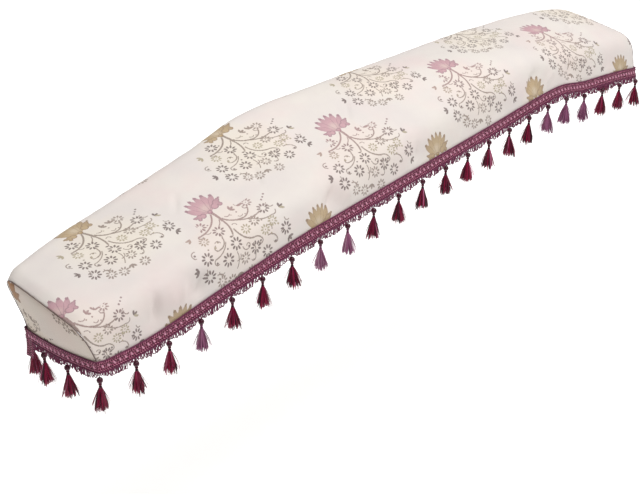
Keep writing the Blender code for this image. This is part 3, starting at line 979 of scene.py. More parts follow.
# %% The whole bouquet
def petals_depth(g, place):
    """How deep a place lies inside the palmette's crown of petals, and inside the next petal under it."""
    x, y, _ = g.parts(place)
    folded = g.place(g.math("ABSOLUTE", x), y)
    deepest = OUTSIDE
    second = OUTSIDE
    for petal in PETALS:
        foot = Vector((petal.x0, petal.y0, 0))
        tip = Vector((petal.x1, petal.y1, 0))
        half = (tip - foot).length / 2
        radius = (half * half + petal.half_width ** 2) / (2 * petal.half_width)
        turn = math.atan2(tip.y - foot.y, tip.x - foot.x)
        local = g.add("ShaderNodeMapping", folded, (foot + tip) / 2, (0, 0, turn), vector_type="TEXTURE")
        mirrored = g.vector("ABSOLUTE", local.outputs[0])
        moved = g.vector("ADD", mirrored, Vector((0, radius - petal.half_width, 0)))
        depth = g.minus(radius, g.vector("LENGTH", moved))
        second = g.most(second, g.math("MINIMUM", deepest, depth))
        deepest = g.most(deepest, depth)
    return deepest, second


def bouquet_group():
    """The whole bouquet as one node group, read in millimetres from the palmette's foot."""
    titles = ("Thread", "Tone", "Palmette", "Vein")
    g, given = new_group("bouquet", [("Place", PLACE)], [(title, NUMBER) for title in titles])
    place = given["Place"]
    daisy, tone = daisies_depth(g, place)
    thread = g.most(daisy, sprigs_depth(g, place))
    thread = g.most(thread, spots_depth(g, place, BERRIES))
    on_flower = g.math("GREATER_THAN", thread, 0.0)
    thread = g.most(thread, stems_depth(g, place))
    tone = g.mix(on_flower, 1.0, tone)
    crown, under = petals_depth(g, place)
    lobes = spots_depth(g, place, LOBES)
    tips = spots_depth(g, place, TIPS)
    vein = g.math("MINIMUM", g.step(g.minus(crown, under), 1.1, 0.4), g.step(under, 0.6, 1.2))
    vein = g.most(vein, g.times(g.step(lobes, 3.0, 1.2), g.step(lobes, -0.2, 0.2)))
    rim = g.most(vein, g.step(tips, -0.2, 0.4))
    palmette = g.most(g.most(crown, lobes), tips)
    g.add("NodeGroupOutput", thread, tone, palmette, rim)
    return g.tree


bouquet = bouquet_group()
print("the bouquet's group has", len(bouquet.nodes), "nodes")

# %% [markdown]
# ## Repeating the bouquet over the cloth
#
# The loom repeats the figure every 0.35 m along the cloth and every 0.31 m up it, first in pink and
# then, about half a repeat over, in gold. The shader wraps a place into both lattices and keeps the
# one whose bouquet it can lie in, so the chart is read only once. Both colours are woven a little
# smaller than charted, and the gold row at the front hem lies a little higher, where the cloth is
# eased. The place is also snapped to the weave's own threads, which gives every edge the small steps
# of real jacquard, and a fine noise pulls the edges about a little.

# %% The repeat
REPEAT_ALONG = 353.5     # mm
REPEAT_UP = 314.0
PINK_ALONG = 1.0         # mm from the near seam to the first pink bouquet's middle
PINK_UP = 144.0          # mm from the front hem to the foot of its palmette
HEAD_TOP = 80.0          # mm, above the highest petal
HEAD_HALF_WIDTH = 46.0
FAN_TOP = -16.0
FAN_HALF_WIDTH = 128.0
FAN_FOOT = -172.0
THREAD_PITCH = 0.6       # mm from thread to thread of the weave
PINK_SIZE = 0.94         # how large a pink bouquet is woven, against its chart
SEAM_SIZE = 0.84         # and one whose cloth is eased in at the near seam
LOW_ROW = -60.0          # below this, a gold bouquet belongs to the row at the front hem
GOLD_INPUTS = ("Gold along", "Gold down", "Gold size", "Low raise")


def figure_group():
    """The repeated figure, read from a place on the flat cloth in metres."""
    inputs = [("Cut", PLACE)] + [(title, NUMBER) for title in GOLD_INPUTS]
    titles = ("Thread", "Tone", "Palmette", "Vein", "Pink", "Across", "Up")
    g, given = new_group("repeated_figure", inputs, [(title, NUMBER) for title in titles])
    flat = g.vector("MULTIPLY", given["Cut"], Vector((1000, 1000, 0)))
    wander = g.noise(flat, 0.35, 1.0)
    wander = g.math("MULTIPLY_ADD", wander, 1.6, -0.8)
    flat = g.vector("ADD", flat, g.place(wander, wander))
    flat = g.vector("SNAP", flat, Vector((THREAD_PITCH, THREAD_PITCH, 1)))
    x, y, _ = g.parts(flat)
    x = g.minus(x, PINK_ALONG)
    y = g.minus(y, PINK_UP)
    half = REPEAT_ALONG / 2
    pink_x = g.math("WRAP", x, half, -half)
    pink_y = g.math("WRAP", y, HEAD_TOP, HEAD_TOP - REPEAT_UP)
    gold_x = g.math("WRAP", g.minus(x, given["Gold along"]), half, -half)
    raised = g.times(g.math("LESS_THAN", y, LOW_ROW), given["Low raise"])
    gold_down = g.minus(given["Gold down"], raised)
    gold_y = g.math("WRAP", g.math("ADD", y, gold_down), HEAD_TOP, HEAD_TOP - REPEAT_UP)
    below_head = g.math("LESS_THAN", pink_y, FAN_TOP)
    limit = g.mix(below_head, HEAD_HALF_WIDTH, FAN_HALF_WIDTH)
    pink = g.math("LESS_THAN", g.math("ABSOLUTE", pink_x), limit)
    pink = g.times(pink, g.math("GREATER_THAN", pink_y, FAN_FOOT))
    at_seam = g.math("LESS_THAN", x, half)
    pink_size = g.mix(at_seam, 1 / PINK_SIZE, 1 / SEAM_SIZE)
    gold_size = g.math("DIVIDE", 1.0, given["Gold size"])
    gold_place = g.vector("SCALE", g.place(gold_x, gold_y), gold_size)
    pink_place = g.vector("SCALE", g.place(pink_x, pink_y), pink_size)
    place = g.mix(pink, gold_place, pink_place, "VECTOR")
    drawn = g.add("ShaderNodeGroup", node_tree=bouquet)
    g.plug(drawn.inputs["Place"], place)
    across, up, _ = g.parts(place)
    g.add("NodeGroupOutput", *drawn.outputs, pink, across, up)
    return g.tree


figure = figure_group()
print("pink and gold bouquets repeat every", REPEAT_ALONG, "by", REPEAT_UP, "mm")

# %% [markdown]
# ## The colours of the cloth
#
# The ground is a satin in ivory, not quite even: the dye takes a little pink here and a little cream
# there, and it is warmer inside each bouquet. The figure's threads are matt taupe, olive and plum,
# and browner rose close to a pink head. The palmettes are rose or old gold, darker at their rims and
# tips and cream at the heart. All of these are blends between a few dyes, except the deeper gold of
# the end panels, which is darker as painted shade.

# %% Colours of the cloth
IVORY = by_eye(234, 227, 220)
COOL_IVORY = by_eye(228, 220, 216)
BLUSH = by_eye(236, 217, 214)
CREAM = by_eye(240, 229, 210)
OLIVE = by_eye(166, 154, 124)
TAUPE = by_eye(138, 121, 110)
PLUM_BROWN = by_eye(94, 75, 72)
ROSE_BROWN = by_eye(166, 124, 128)
ROSE = by_eye(200, 153, 163)
ROSE_RIM = by_eye(136, 99, 112)
OLD_GOLD = by_eye(186, 160, 118)
GOLD_RIM = by_eye(130, 100, 76)
# painted shade: a darker, more saturated gold, used only on the end panels
PANEL_SHADED_GOLD = by_eye(176, 122, 60)


def ground_colour(g, cut, halo, pink):
    """The uneven ivory of the ground."""
    clouds = g.step(g.noise(cut, 9.0, 3.0), 0.35, 0.65)
    blush = g.step(g.noise(g.vector("ADD", cut, Vector((5, 3, 0))), 7.0, 3.0), 0.48, 0.72)
    colour = g.colour(clouds, COOL_IVORY, IVORY)
    colour = g.colour(g.times(blush, 0.7), colour, BLUSH)
    warm = g.colour(pink, CREAM, g.colour(0.5, CREAM, BLUSH))
    return g.colour(g.times(halo, 0.5), colour, warm)


def line_colour(g, tone, up, pink):
    """The colour of the thin threads, by the tone of their mark."""
    light = g.colour(g.math("MINIMUM", tone, 1.0), OLIVE, TAUPE)
    line = g.colour(g.minus(tone, 1.0), light, PLUM_BROWN)
    near_head = g.times(g.step(up, -75.0, -5.0), g.times(pink, 0.75))
    return g.colour(near_head, line, ROSE_BROWN)


def head_colour(g, across, up, vein, pink, gold):
    """The colour of a palmette, by the place in it."""
    fill = g.colour(pink, gold, ROSE)
    rim = g.colour(pink, GOLD_RIM, ROSE_RIM)
    to_tip = g.times(g.step(g.vector("LENGTH", g.place(across, up)), 40.0, 66.0), 0.7)
    to_side = g.times(g.step(g.math("ABSOLUTE", across), 20.0, 38.0), 0.6)
    to_rim = g.most(g.most(vein, to_tip), to_side)
    heart = g.step(g.vector("LENGTH", g.place(across, g.minus(up, 22.0))), 16.0, 4.0)
    fill = g.colour(g.times(heart, 0.35), fill, CREAM)
    return g.colour(g.times(to_rim, 0.75), fill, rim)


print("three dyes for the threads and two for the heads")

# %% [markdown]
# ## The jacquard
#
# The weave is far too fine for geometry, so it is a relief in the finish: crossing threads, with a
# long slub here and there. The reverse of the cloth shows the same figure, but paler, because there
# the coloured threads float behind the ground. Rows of gold bouquets don't lie alike on the long cloth
# and on the end panels, which are cut from another part of the length, so each gets its own row.

# %% Jacquard
HALO_ACROSS = 0.011      # one over half the width of the warm ground round a bouquet, in mm
HALO_UP = 0.0115         # and over half its height
HALO_SHIFT = 0.75


class GoldRow(NamedTuple):
    """Where the gold bouquets lie from the pink ones, in mm, and how large they are woven."""
    along: float
    down: float
    size: float
    low_raise: float      # how much higher the row at the front hem lies


def weave_height(g, cut):
    """The relief of the satin."""
    u, v, _ = g.parts(cut)
    turn = math.tau * 1000 / THREAD_PITCH
    warp = g.math("SINE", g.times(u, turn))
    weft = g.math("SINE", g.times(v, turn))
    slub = g.noise(g.vector("MULTIPLY", cut, Vector((60, 900, 1))), 1.0, 2.0)
    return g.math("ADD", g.times(warp, weft), g.times(slub, 1.5))


def on_mark(g, depth, worn, wear, full):
    """How much of a mark's colour shows at a depth in it, with some of it worn off."""
    return g.times(g.step(depth, -0.15, 0.35), g.math("MULTIPLY_ADD", worn, wear, full))


def jacquard(name, gold_row, strength, shade, gold=OLD_GOLD):
    """The woven cloth. On the reverse the figure's strength is low. The shade tints the whole of it; on the
    end panels this tint is painted shade.
    """
    material, g, shader = new_material(name)
    cut = g.cut()
    drawn = g.add("ShaderNodeGroup", node_tree=figure)
    g.plug(drawn.inputs["Cut"], cut)
    for title, number in zip(GOLD_INPUTS, gold_row):
        g.plug(drawn.inputs[title], number)
    thread, tone, palmette, vein, pink, across, up = drawn.outputs
    aside = g.times(across, HALO_ACROSS)
    above = g.math("MULTIPLY_ADD", up, HALO_UP, HALO_SHIFT)
    halo = g.step(g.vector("LENGTH", g.place(aside, above)), 1.25, 0.55)
    worn = g.noise(cut, 420.0, 2.0)
    on_thread = on_mark(g, thread, worn, 0.7, 0.45 * strength)
    on_head = on_mark(g, palmette, worn, 0.3, 0.72 * strength)
    ground = ground_colour(g, cut, halo, pink)
    colour = g.colour(g.times(on_thread, strength), ground, line_colour(g, tone, up, pink))
    fill = head_colour(g, across, up, vein, pink, gold)
    colour = g.colour(g.times(on_head, strength), colour, fill)
    # the shade multiplies the whole colour; on the end panels it is painted shade
    g.plug(shader.inputs["Base Color"], g.vector("MULTIPLY", colour, Vector(shade)))
    g.plug(shader.inputs["Roughness"], g.mix(on_thread, 0.52, 0.66))
    settle(shader, {"Specular IOR Level": 0.35, "Sheen Weight": 0.25, "Sheen Roughness": 0.35})
    g.relief(shader, weave_height(g, cut), 0.35, 0.0002)
    return material


LONG_GOLD = GoldRow(180.0, 174.5, 0.87, 13.0)
cloth_face = jacquard("ivory_jacquard", LONG_GOLD, 1.0, (1, 1, 1))
cloth_back = jacquard("ivory_jacquard_reverse", LONG_GOLD, 0.45, (1, 1, 1))
print("the jacquard has", len(cloth_face.node_tree.nodes), "nodes over the figure's")

# %% [markdown]
# ## The long cloth
#
# On the real cover this is one length of jacquard, laid over the top and turned down at both sides.
# Its fine grid takes a point every 6 mm, close enough for a crease of 20 mm to look round. The cloth
# was cut a little askew to the figure, so the bouquets climb slowly from the near end to past the
# middle.

# %% The long cloth
ASKEW = 0.039            # how far the figure climbs on its way to its highest column
HIGHEST_PART = 0.64      # and where that column is
SEAM_DIP = 0.016         # how far it dips to the near seam
SEAM_DIP_PART = 0.15
SLANT = 0.30             # how far it leans to the near end for each metre up the cloth
SLANT_PART = 0.10        # where it leans most
SLANT_WIDE = 0.45
SLANT_UP = 0.20          # and how far up the cloth the lean begins


def climb(part):
    """How far the figure has climbed up the cloth at a part of its length."""
    dip = SEAM_DIP * fade(part, SEAM_DIP_PART) ** 2
    return ASKEW * math.sin(part / HIGHEST_PART * math.pi / 2) - dip


def cut_place(part, up):
    """Where a point of the draped cloth lies on the flat one."""
    lean = SLANT * ease((part - SLANT_PART) / SLANT_WIDE)
    return part * LENGTH + lean * max(0.0, up - SLANT_UP), up - climb(part)


def build_long_cloth():
    """The piece over the top and both long sides."""
    places = []
    flat = []
    girths = []
    for part in long_parts():
        x = along(part)
        line = girth_line(x)
        far = measured(line)
        girths.append(far[-1])
        row = []
        for k in range(GIRTH_CELLS + 1):
            up = far[-1] * k / GIRTH_CELLS
            point, run = at_distance(line, far, up)
            outward = Vector((-run.y, run.x))
            y, height = point - outward * press_in(x, up, far[-1])
            row.append(tucked(x, y, height))
        places.append(row)
        flat.append([cut_place(part, far[-1] * k / GIRTH_CELLS) for k in range(GIRTH_CELLS + 1)])
    bm = laid_sheet(places, flat, Vector((0, 0, 1)))
    area = area_of(bm)
    piece = add_piece("cover_cloth", bm, (cloth_face, cloth_back))
    thicken(piece)
    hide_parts("cover_panel")
    return piece, max(girths), area


cover_cloth, widest, long_area = build_long_cloth()
print("long cloth:", round(widest, 3), "by", round(LENGTH, 3), "m,", round(long_area, 3), "square metres")

# %% [markdown]
# ## The end panels
#
# Each end is closed by a small panel, sewn to the edge of the long cloth. Its outline has four sides:
# the hem, the front wall, the top with its ridge, and the back wall. A patch that blends between four
# such sides fills it with an even grid. An n-gon would be quicker, but it can't swell or be creased.

# %% Sides of a panel
RIM_CLEAR = 0.0026       # how far inside the long cloth's outer face a panel's rim lies


def drawn_in(line):
    """A line over the cloth, moved inward so that a panel's rim clears the long cloth's wall."""
    inner = []
    for k, point in enumerate(line):
        run = (line[min(k + 1, len(line) - 1)] - line[max(k - 1, 0)]).normalized()
        inner.append(point + Vector((run.y, -run.x)) * RIM_CLEAR)
    return inner


def panel_sides(x):
    """The four sides of an end panel as measured lines: hem, front wall, top and back wall."""
    line = drawn_in(girth_line(x))
    front_corner = 1 + CORNER_STEPS // 2
    back_corner = len(line) - 3 - CORNER_STEPS // 2
    front = line[:front_corner + 1]
    top = line[front_corner:back_corner + 1]
    back = line[back_corner:][::-1]
    hem = [line[0], line[-1]]
    return [(side, measured(side)) for side in (hem, front, top, back)]


def panel_point(sides, s, t):
    """A point of the patch between the four sides, s from front to back and t from hem to top."""
    hem, front, top, back = [
        at_distance(side, far, far[-1] * share)[0]
        for (side, far), share in zip(sides, (s, t, s, t))
    ]
    corners = [sides[0][0][0], sides[0][0][-1], sides[2][0][0], sides[2][0][-1]]
    across = hem * (1 - t) + top * t + front * (1 - s) + back * s
    straight = (corners[0] * (1 - s) + corners[1] * s) * (1 - t) + (corners[2] * (1 - s) + corners[3] * s) * t
    return across - straight


near_hem, near_front, _, near_back = [round(far[-1], 3) for _, far in panel_sides(NEAR_X)]
print("near panel:", near_hem, "m along its hem,", near_front, "and", near_back, "m up its sides")

# %% [markdown]
# ## Sewing the panels in
#
# The rim of a panel is drawn in under the long cloth's edge, so the seam is a narrow groove, and the
# panel swells a little between its seam and its braid. Its figure stands upright as well. The panel
# faces away from the lamp, and painted shade makes it darker still: a darker, warmer tint over its
# whole finish, and a deeper gold in its bouquets.

# %% The end panels
PANEL_CELLS = 36
PANEL_RISE_CELLS = 18
RIM_PARTS = (0.008, 0.02, 0.04)          # extra rows of points close to the rim
RIM_MARGIN = 0.06        # where the even rows begin
RIM_FADE = 0.05          # share of the panel over which its rim comes out again
RIM_IN = 0.0024          # how far the rim goes in at the seam
GAP = 0.0004             # between two pieces that touch
END_PUFF = 0.004         # how far the panel swells
PANEL_ROUGH = 0.0008
PANEL_CUT = 0.059        # how much lower on the figure's repeat the panels are cut
PANEL_GOLD = GoldRow(147.5, 137.0, 1.0, 0.0)
# painted shade: a darker, warmer tint over the end panels' whole finish
PANEL_PAINTED_SHADE = (0.93, 0.88, 0.82)


def graded(cells):
    """Even parts from 0 to 1, with extra ones close to both rims."""
    even = [RIM_MARGIN + (1 - 2 * RIM_MARGIN) * k / cells for k in range(cells + 1)]
    return [0.0, *RIM_PARTS, *even, *(1 - part for part in reversed(RIM_PARTS)), 1.0]


def extent(places, axis):
    """How far a sheet's points reach along one axis."""
    values = [point[axis] for row in places for point in row]
    return max(values) - min(values)


def build_end_panel(name, node, x, outward, face):
    """A panel sewn in at one end, a little swollen above the braid and tucked under at the hem."""
    sides = panel_sides(x)
    hem_front = sides[0][0][0]
    places = []
    flat = []
    for s in graded(PANEL_CELLS):
        row = []
        cut = []
        for t in graded(PANEL_RISE_CELLS):
            y, height = panel_point(sides, s, t)
            rim = RIM_IN * fade(min(s, 1 - s, (1 - t) / 2), RIM_FADE) ** 2
            over_hem = height - panel_point(sides, s, 0.0).y
            loose = within((over_hem - BRAID_WIDTH) / FOLD_FADE)
            swell = END_PUFF * 16 * s * (1 - s) * t * (1 - t) * loose
            rough = PANEL_ROUGH * uneven(y, height, 0.05, 7.0 + outward) * loose
            point = tucked(x, y, height)
            point.x += outward * (GAP + CLOTH - rim + swell + rough)
            row.append(point)
            wall = panel_point(sides, 0.0, t).x
            cut.append((wall - y, height - hem_front.y - PANEL_CUT))
        places.append(row)
        flat.append(cut)
    bm = laid_sheet(places, flat, Vector((outward, 0, 0)))
    area = area_of(bm)
    piece = add_piece(name, bm, (face, cloth_back))
    thicken(piece)
    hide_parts(node)
    return piece, extent(places, 1), extent(places, 2), area


# the end panels' finish carries painted shade: a darker tint and a deeper gold
panel_face = jacquard("ivory_jacquard_end", PANEL_GOLD, 1.1, PANEL_PAINTED_SHADE, PANEL_SHADED_GOLD)
near_panel = build_end_panel("end_cloth_near", "end_panel_near", NEAR_X, -1, panel_face)
far_panel = build_end_panel("end_cloth_far", "end_panel_far", FAR_X, 1, panel_face)
for piece, wide, tall, area in (near_panel, far_panel):
    print(piece.name, round(wide, 3), "by", round(tall, 3), "m,", round(area, 4), "square metres")

# %% [markdown]
# ## Places on the hem
#
# All of the trimming hangs from one closed line: the hem. A place on it is the lower edge of the
# cloth, the point a braid's width above that, and the way outward. Both kinds of side give such a
# place for any part of their length, so the trimming needn't know which kind it is on.

# %% Places on the hem
END_EASE = 0.236         # how much wider the first gap between tassels is over an end, from its front


class HemPlace(NamedTuple):
    """A place on the hem, on the outer face of the cloth."""
    low: Vector
    high: Vector
    out: Vector


OUTWARD = {
    "front": Vector((0, -1, 0)),
    "back": Vector((0, 1, 0)),
    "near": Vector((-1, 0, 0)),
    "far": Vector((1, 0, 0)),
}
END_X = {"near": NEAR_X, "far": FAR_X}


def wall_place(side, x):
    """A place on a long side's hem."""
    line = girth_line(x)
    if side == "back":
        line.reverse()
    edge, _ = at_distance(line, measured(line), BRAID_WIDTH)
    return HemPlace(tucked(x, *line[0]), tucked(x, *edge), OUTWARD[side])


def over_end(part):
    """The share of an end's width for a part of its gaps between tassels."""
    return part + END_EASE * part * (1 - part)


def end_place(end, part):
    """A place on an end's hem, part of the way from its front to its back corner."""
    x = END_X[end]
    line = girth_line(x)
    far = measured(line)
    front, _ = at_distance(line, far, BRAID_WIDTH)
    back, _ = at_distance(line, far, far[-1] - BRAID_WIDTH)
    shift = OUTWARD[end] * (GAP + CLOTH)
    share = over_end(part)
    low = tucked(x, *line[0].lerp(line[-1], share)) + shift
    return HemPlace(low, tucked(x, *front.lerp(back, share)) + shift, OUTWARD[end])


def hem_place(side, part):
    """A place on any side's hem, part of the way from the near end or from the front."""
    return wall_place(side, along(part)) if side in ("front", "back") else end_place(side, part)


print("a quarter of the front hem is at", tuple(round(v, 3) for v in hem_place("front", 0.25).low))

# %% [markdown]
# ## Round the whole hem
#
# At each corner of the cover the way outward turns through a quarter circle while the place stays, so
# a braid laid along the line goes round the corner without a crease, as a sewn braid does. The front
# and the back take 22 gaps from tassel to tassel, and each end takes three.

# %% Round the hem
LONG_GAPS = 22           # tassel to tassel along a long side
END_GAPS = 3
CORNER_FAN = 5           # steps in which the line turns a corner
SIDES_ROUND = ("front", "far", "back", "near")


def corner_fan(side, end):
    """The places that turn a corner, from a long side to an end."""
    wall = wall_place(side, END_X[end])
    shift = OUTWARD[end] * (GAP + CLOTH)
    fan = []
    for k in range(CORNER_FAN + 1):
        turn = math.pi / 2 * k / CORNER_FAN
        out = OUTWARD[side] * math.cos(turn) + OUTWARD[end] * math.sin(turn)
        fan.append(HemPlace(wall.low + shift, wall.high + shift, out))
    return fan


def gaps_of(side):
    """How many gaps from tassel to tassel a side has."""
    return LONG_GAPS if side in ("front", "back") else END_GAPS


def between(side, steps):
    """The places of one side between its corners, with so many steps to a gap."""
    count = gaps_of(side) * steps
    return [hem_place(side, k / count) for k in range(1, count)]


def hem_run(steps):
    """Places round the whole hem, from the near front corner by way of the front."""
    run = corner_fan("front", "near")[::-1] + between("front", steps)
    run += corner_fan("front", "far") + between("far", steps)
    run += corner_fan("back", "far")[::-1] + between("back", steps)[::-1]
    run += corner_fan("back", "near") + between("near", steps)[::-1]
    return run


hem_length = measured_round([place.low for place in hem_run(1)])[-1]
print("the hem is", round(hem_length, 2), "m round")

# %% [markdown]
# ## A band along the hem
#
# A woven band is the same all along, so it is one profile carried round the hem and joined to its own
# start. The profile is a short list of points, each so far up the braid and so far out from the cloth.
# A curve with a bevel would be less work, but it would twist at the corners.

# %% A band along the hem
BRAID_THICK = 0.0024
BRAID_STEPS = 24         # rows of points to a gap
WELD = 0.00001           # points closer than this are one


def on_braid(place, up, out):
    """The point that is so far up the braid at a place, and so far out from the cloth."""
    return place.low + (place.high - place.low) * (up / BRAID_WIDTH) + place.out * out


def band(profile, run, sway):
    """A closed band along the hem. Where it stands out most, it sways in and out from row to row."""
    rows = len(run)
    columns = len(profile)
    far = measured_round([place.low.lerp(place.high, 0.5) + place.out * BRAID_THICK for place in run])
    girth = measured_round(profile)
    bm, cell = cut_grid(rows, columns, lambda row, column: (far[row], girth[column]))
    for vert, (row, column) in cell.items():
        up, out = profile[column % columns]
        out = out * (1 + sway * (-1) ** row) if out > 0.5 * BRAID_THICK else out
        vert.co = on_braid(run[row % rows], up, GAP + out)
    bmesh.ops.remove_doubles(bm, verts=bm.verts, dist=WELD)
    bmesh.ops.recalc_face_normals(bm, faces=bm.faces)
    if bm.calc_volume(signed=True) < 0:
        bmesh.ops.reverse_faces(bm, faces=bm.faces)
    return bm


braid_run = hem_run(BRAID_STEPS)
print("a band along the hem has", len(braid_run), "rows of points")

# %% [markdown]
# ## The braid's threads
#
# The braid is a woven gimp, 25 mm wide: a tape with two plaited ribs, a twisted cord along either
# edge, and a row of slanted pads of pink floss down its middle. The threads of the plait and the twist
# are thinner than half a millimetre, so they are drawn in the finish, as stripes that run slantwise
# over a band's own two directions. On the tape the stripes are darker between the threads, partly as
# painted shade, and their crests carry a painted highlight. A modelled plait would need a hundred
# times as many faces.

# %% Braid finish
BRAID_PLUM = by_eye(56, 2, 26)
BRAID_MAUVE = by_eye(214, 86, 136)
# painted highlight for the crests of the tape's threads
BRAID_HIGHLIGHT = by_eye(252, 190, 214)
PAD_PINK = by_eye(250, 184, 208)
CORD_DARK = by_eye(70, 16, 44)
CORD_LIGHT = by_eye(126, 44, 86)
PAD_SHADE = by_eye(168, 72, 120)
RIB_START = 1.6          # mm, where the tape's first rib begins
RIB_WIDE = 5.3
RIB_MIDDLE = 2.7
PLAIT_PITCH = 5.0        # mm from plait to plait
FINE_PITCH = 1.25        # and from thread to thread in it
TWIST_BRAID = 330        # turns to a metre of the braid's cords


def plaited():
    """The tape: slanted threads that meet along the middle of each rib, darker between them partly as painted
    shade, with a painted highlight on their crests.
    """
    material, g, shader = new_material("plaited_mauve")
    cut = g.cut()
    u, v, _ = g.parts(g.vector("MULTIPLY", cut, Vector((1000, 1000, 0))))
    fold = g.math("PINGPONG", g.minus(v, RIB_START), RIB_WIDE)
    slant = g.math("MULTIPLY_ADD", fold, 1.0, u)
    thread = g.math("SINE", g.times(slant, math.tau / PLAIT_PITCH))
    fine = g.math("SINE", g.times(slant, math.tau / FINE_PITCH))
    rib = g.step(g.math("ABSOLUTE", g.minus(fold, RIB_MIDDLE)), 2.6, 1.4)
    # lighter on the ribs and the threads' crests, darker between: partly the plait's colours, partly painted
    # shade
    light = g.times(rib, g.math("MULTIPLY_ADD", thread, 0.5, 0.6))
    worn = g.step(g.noise(cut, 230.0, 2.0), 0.28, 0.68)
    colour = g.colour(g.times(light, worn), BRAID_PLUM, BRAID_MAUVE)
    # painted highlight on the crests of the threads
    crest_highlight = g.times(g.step(thread, 0.55, 0.95), g.times(rib, worn))
    colour = g.colour(g.times(crest_highlight, 0.75), colour, BRAID_HIGHLIGHT)
    g.plug(shader.inputs["Base Color"], colour)
    settle(shader, {"Roughness": 0.55, "Specular IOR Level": 0.25, "Sheen Weight": 0.05})
    g.relief(shader, g.math("MULTIPLY_ADD", fine, 0.4, thread), 0.6, 0.0004)
    return material


def twisted(name, dark, light, turns, roughness):
    """Thread twisted round a core, with so many turns to a metre."""
    material, g, shader = new_material(name)
    u, v, _ = g.parts(g.cut())
    slant = g.times(g.math("ADD", u, v), math.tau * turns)
    wave = g.math("MULTIPLY_ADD", g.math("SINE", slant), 0.5, 0.5)
    g.plug(shader.inputs["Base Color"], g.colour(wave, dark, light))
    settle(shader, {"Roughness": roughness, "Specular IOR Level": 0.25, "Sheen Weight": 0.05})
    g.relief(shader, wave, 0.7, 0.0004)
    return material


def floss(name, colour, shade, size):
    """Soft floss: fine streaks in the piece's own directions."""
    material, g, shader = new_material(name)
    streak = g.noise(g.vector("MULTIPLY", g.where(), size), 1.0, 2.0)
    g.plug(shader.inputs["Base Color"], g.colour(g.step(streak, 0.35, 0.65), shade, colour))
    settle(shader, {"Roughness": 0.45, "Sheen Weight": 0.3})
    return material


braid_tape = plaited()
braid_cord = twisted("twisted_plum", CORD_DARK, CORD_LIGHT, TWIST_BRAID, 0.5)
pad_floss = floss("pink_floss", PAD_PINK, PAD_SHADE, Vector((1800, 1800, 300)))
print("three finishes for the braid")

# %% [markdown]
# ## The braid's profiles and its loose end
#
# The tape's profile shows its two ribs and the flat middle between them, and the cords are round. Sewn
# round the hem, the braid meets itself at the near back corner. There its end was never turned in: it
# laps over the start and hangs free for two or three fingers' width, its lower edge curling away.

# %% Loose end
TAPE = (
    (0.0014, 0.0002), (0.0026, 0.0010), (0.0042, 0.0015), (0.0064, 0.0021), (0.0086, 0.0016),
    (0.0096, 0.0010), (0.0125, 0.0011), (0.0154, 0.0010), (0.0164, 0.0016), (0.0186, 0.0021),
    (0.0208, 0.0015), (0.0224, 0.0010), (0.0236, 0.0002), (0.0230, 0.0), (0.0125, 0.0), (0.0020, 0.0),
)
CORD_RADIUS = 0.00135
CORD_OUT = 0.00145
CORD_SIDES = 8
LOOSE_LENGTH = 0.056     # of the braid's end, which hangs free at the near back corner
LOOSE_STEPS = 16
LOOSE_CURL = 0.004       # how far its lower edge stands away


def cord_profile(up):
    """A round profile at one height of the braid."""
    turns = [-math.tau * k / CORD_SIDES for k in range(CORD_SIDES)]
    return [(up + CORD_RADIUS * math.cos(t), CORD_OUT + CORD_RADIUS * math.sin(t)) for t in turns]


def loose_end():
    """The end of the tape: it laps over the start at the near back corner and hangs down past the hem."""
    columns = len(TAPE)
    girth = measured_round(TAPE)
    corner = corner_fan("back", "near")[-1]
    step = LOOSE_LENGTH / LOOSE_STEPS
    bm, cell = cut_grid(LOOSE_STEPS, columns, lambda row, column: (step * row, girth[column]))
    for vert, (row, column) in cell.items():
        share = row / LOOSE_STEPS
        over, out = TAPE[column % columns]
        out += GAP + BRAID_THICK + LOOSE_CURL * share ** 3
        vert.co = corner.high + Vector((-out, -over, -LOOSE_LENGTH * share))
    bmesh.ops.remove_doubles(bm, verts=bm.verts, dist=WELD)
    bmesh.ops.holes_fill(bm, edges=[edge for edge in bm.edges if edge.is_boundary])
    bmesh.ops.recalc_face_normals(bm, faces=bm.faces)
    return bm


print("the loose end is", LOOSE_LENGTH, "m long")

# %% [markdown]
# ## The braid
#
# The tape and both cords are bands along the hem. The pads of floss stand up from the tape, six from
# tassel to tassel, so each is a small ball, squashed and turned, and set on the tape with its own
# upright axis. One mesh holds all of them, because several hundred objects would only be slower.

# %% Braid
TAPE_SWAY = 0.22
CORDS = (("braid_cord_low", 0.0017), ("braid_cord_high", 0.0233))     # and how far up each lies
PADS_PER_GAP = 6
PAD_SIZE = (0.0019, 0.0016, 0.0044)
PAD_SLANT = math.radians(30)
PAD_OUT = 0.0014


def stand_at(place, up, out):
    """The matrix that sets a small piece on the braid: its X along the hem, its Y inward and its Z up."""
    side = place.out.cross(Vector((0, 0, 1))).normalized()
    axes = Matrix((side, -place.out.normalized(), Vector((0, 0, 1)))).transposed()
    return Matrix.Translation(on_braid(place, up, out)) @ axes.to_4x4()


def join_in(total, part, matrix):
    """Move a small mesh into a larger one."""
    bmesh.ops.transform(part, matrix=matrix, verts=part.verts)
    mesh = bpy.data.meshes.new("part")
    part.to_mesh(mesh)
    part.free()
    total.from_mesh(mesh)
    bpy.data.meshes.remove(mesh)


def one_pad():
    """A slanted pad of floss."""
    bm = bmesh.new()
    bmesh.ops.create_icosphere(bm, subdivisions=2, radius=1)
    bmesh.ops.scale(bm, vec=PAD_SIZE, verts=bm.verts)
    bmesh.ops.rotate(bm, verts=bm.verts, cent=(0, 0, 0), matrix=Matrix.Rotation(PAD_SLANT, 3, "Y"))
    return bm


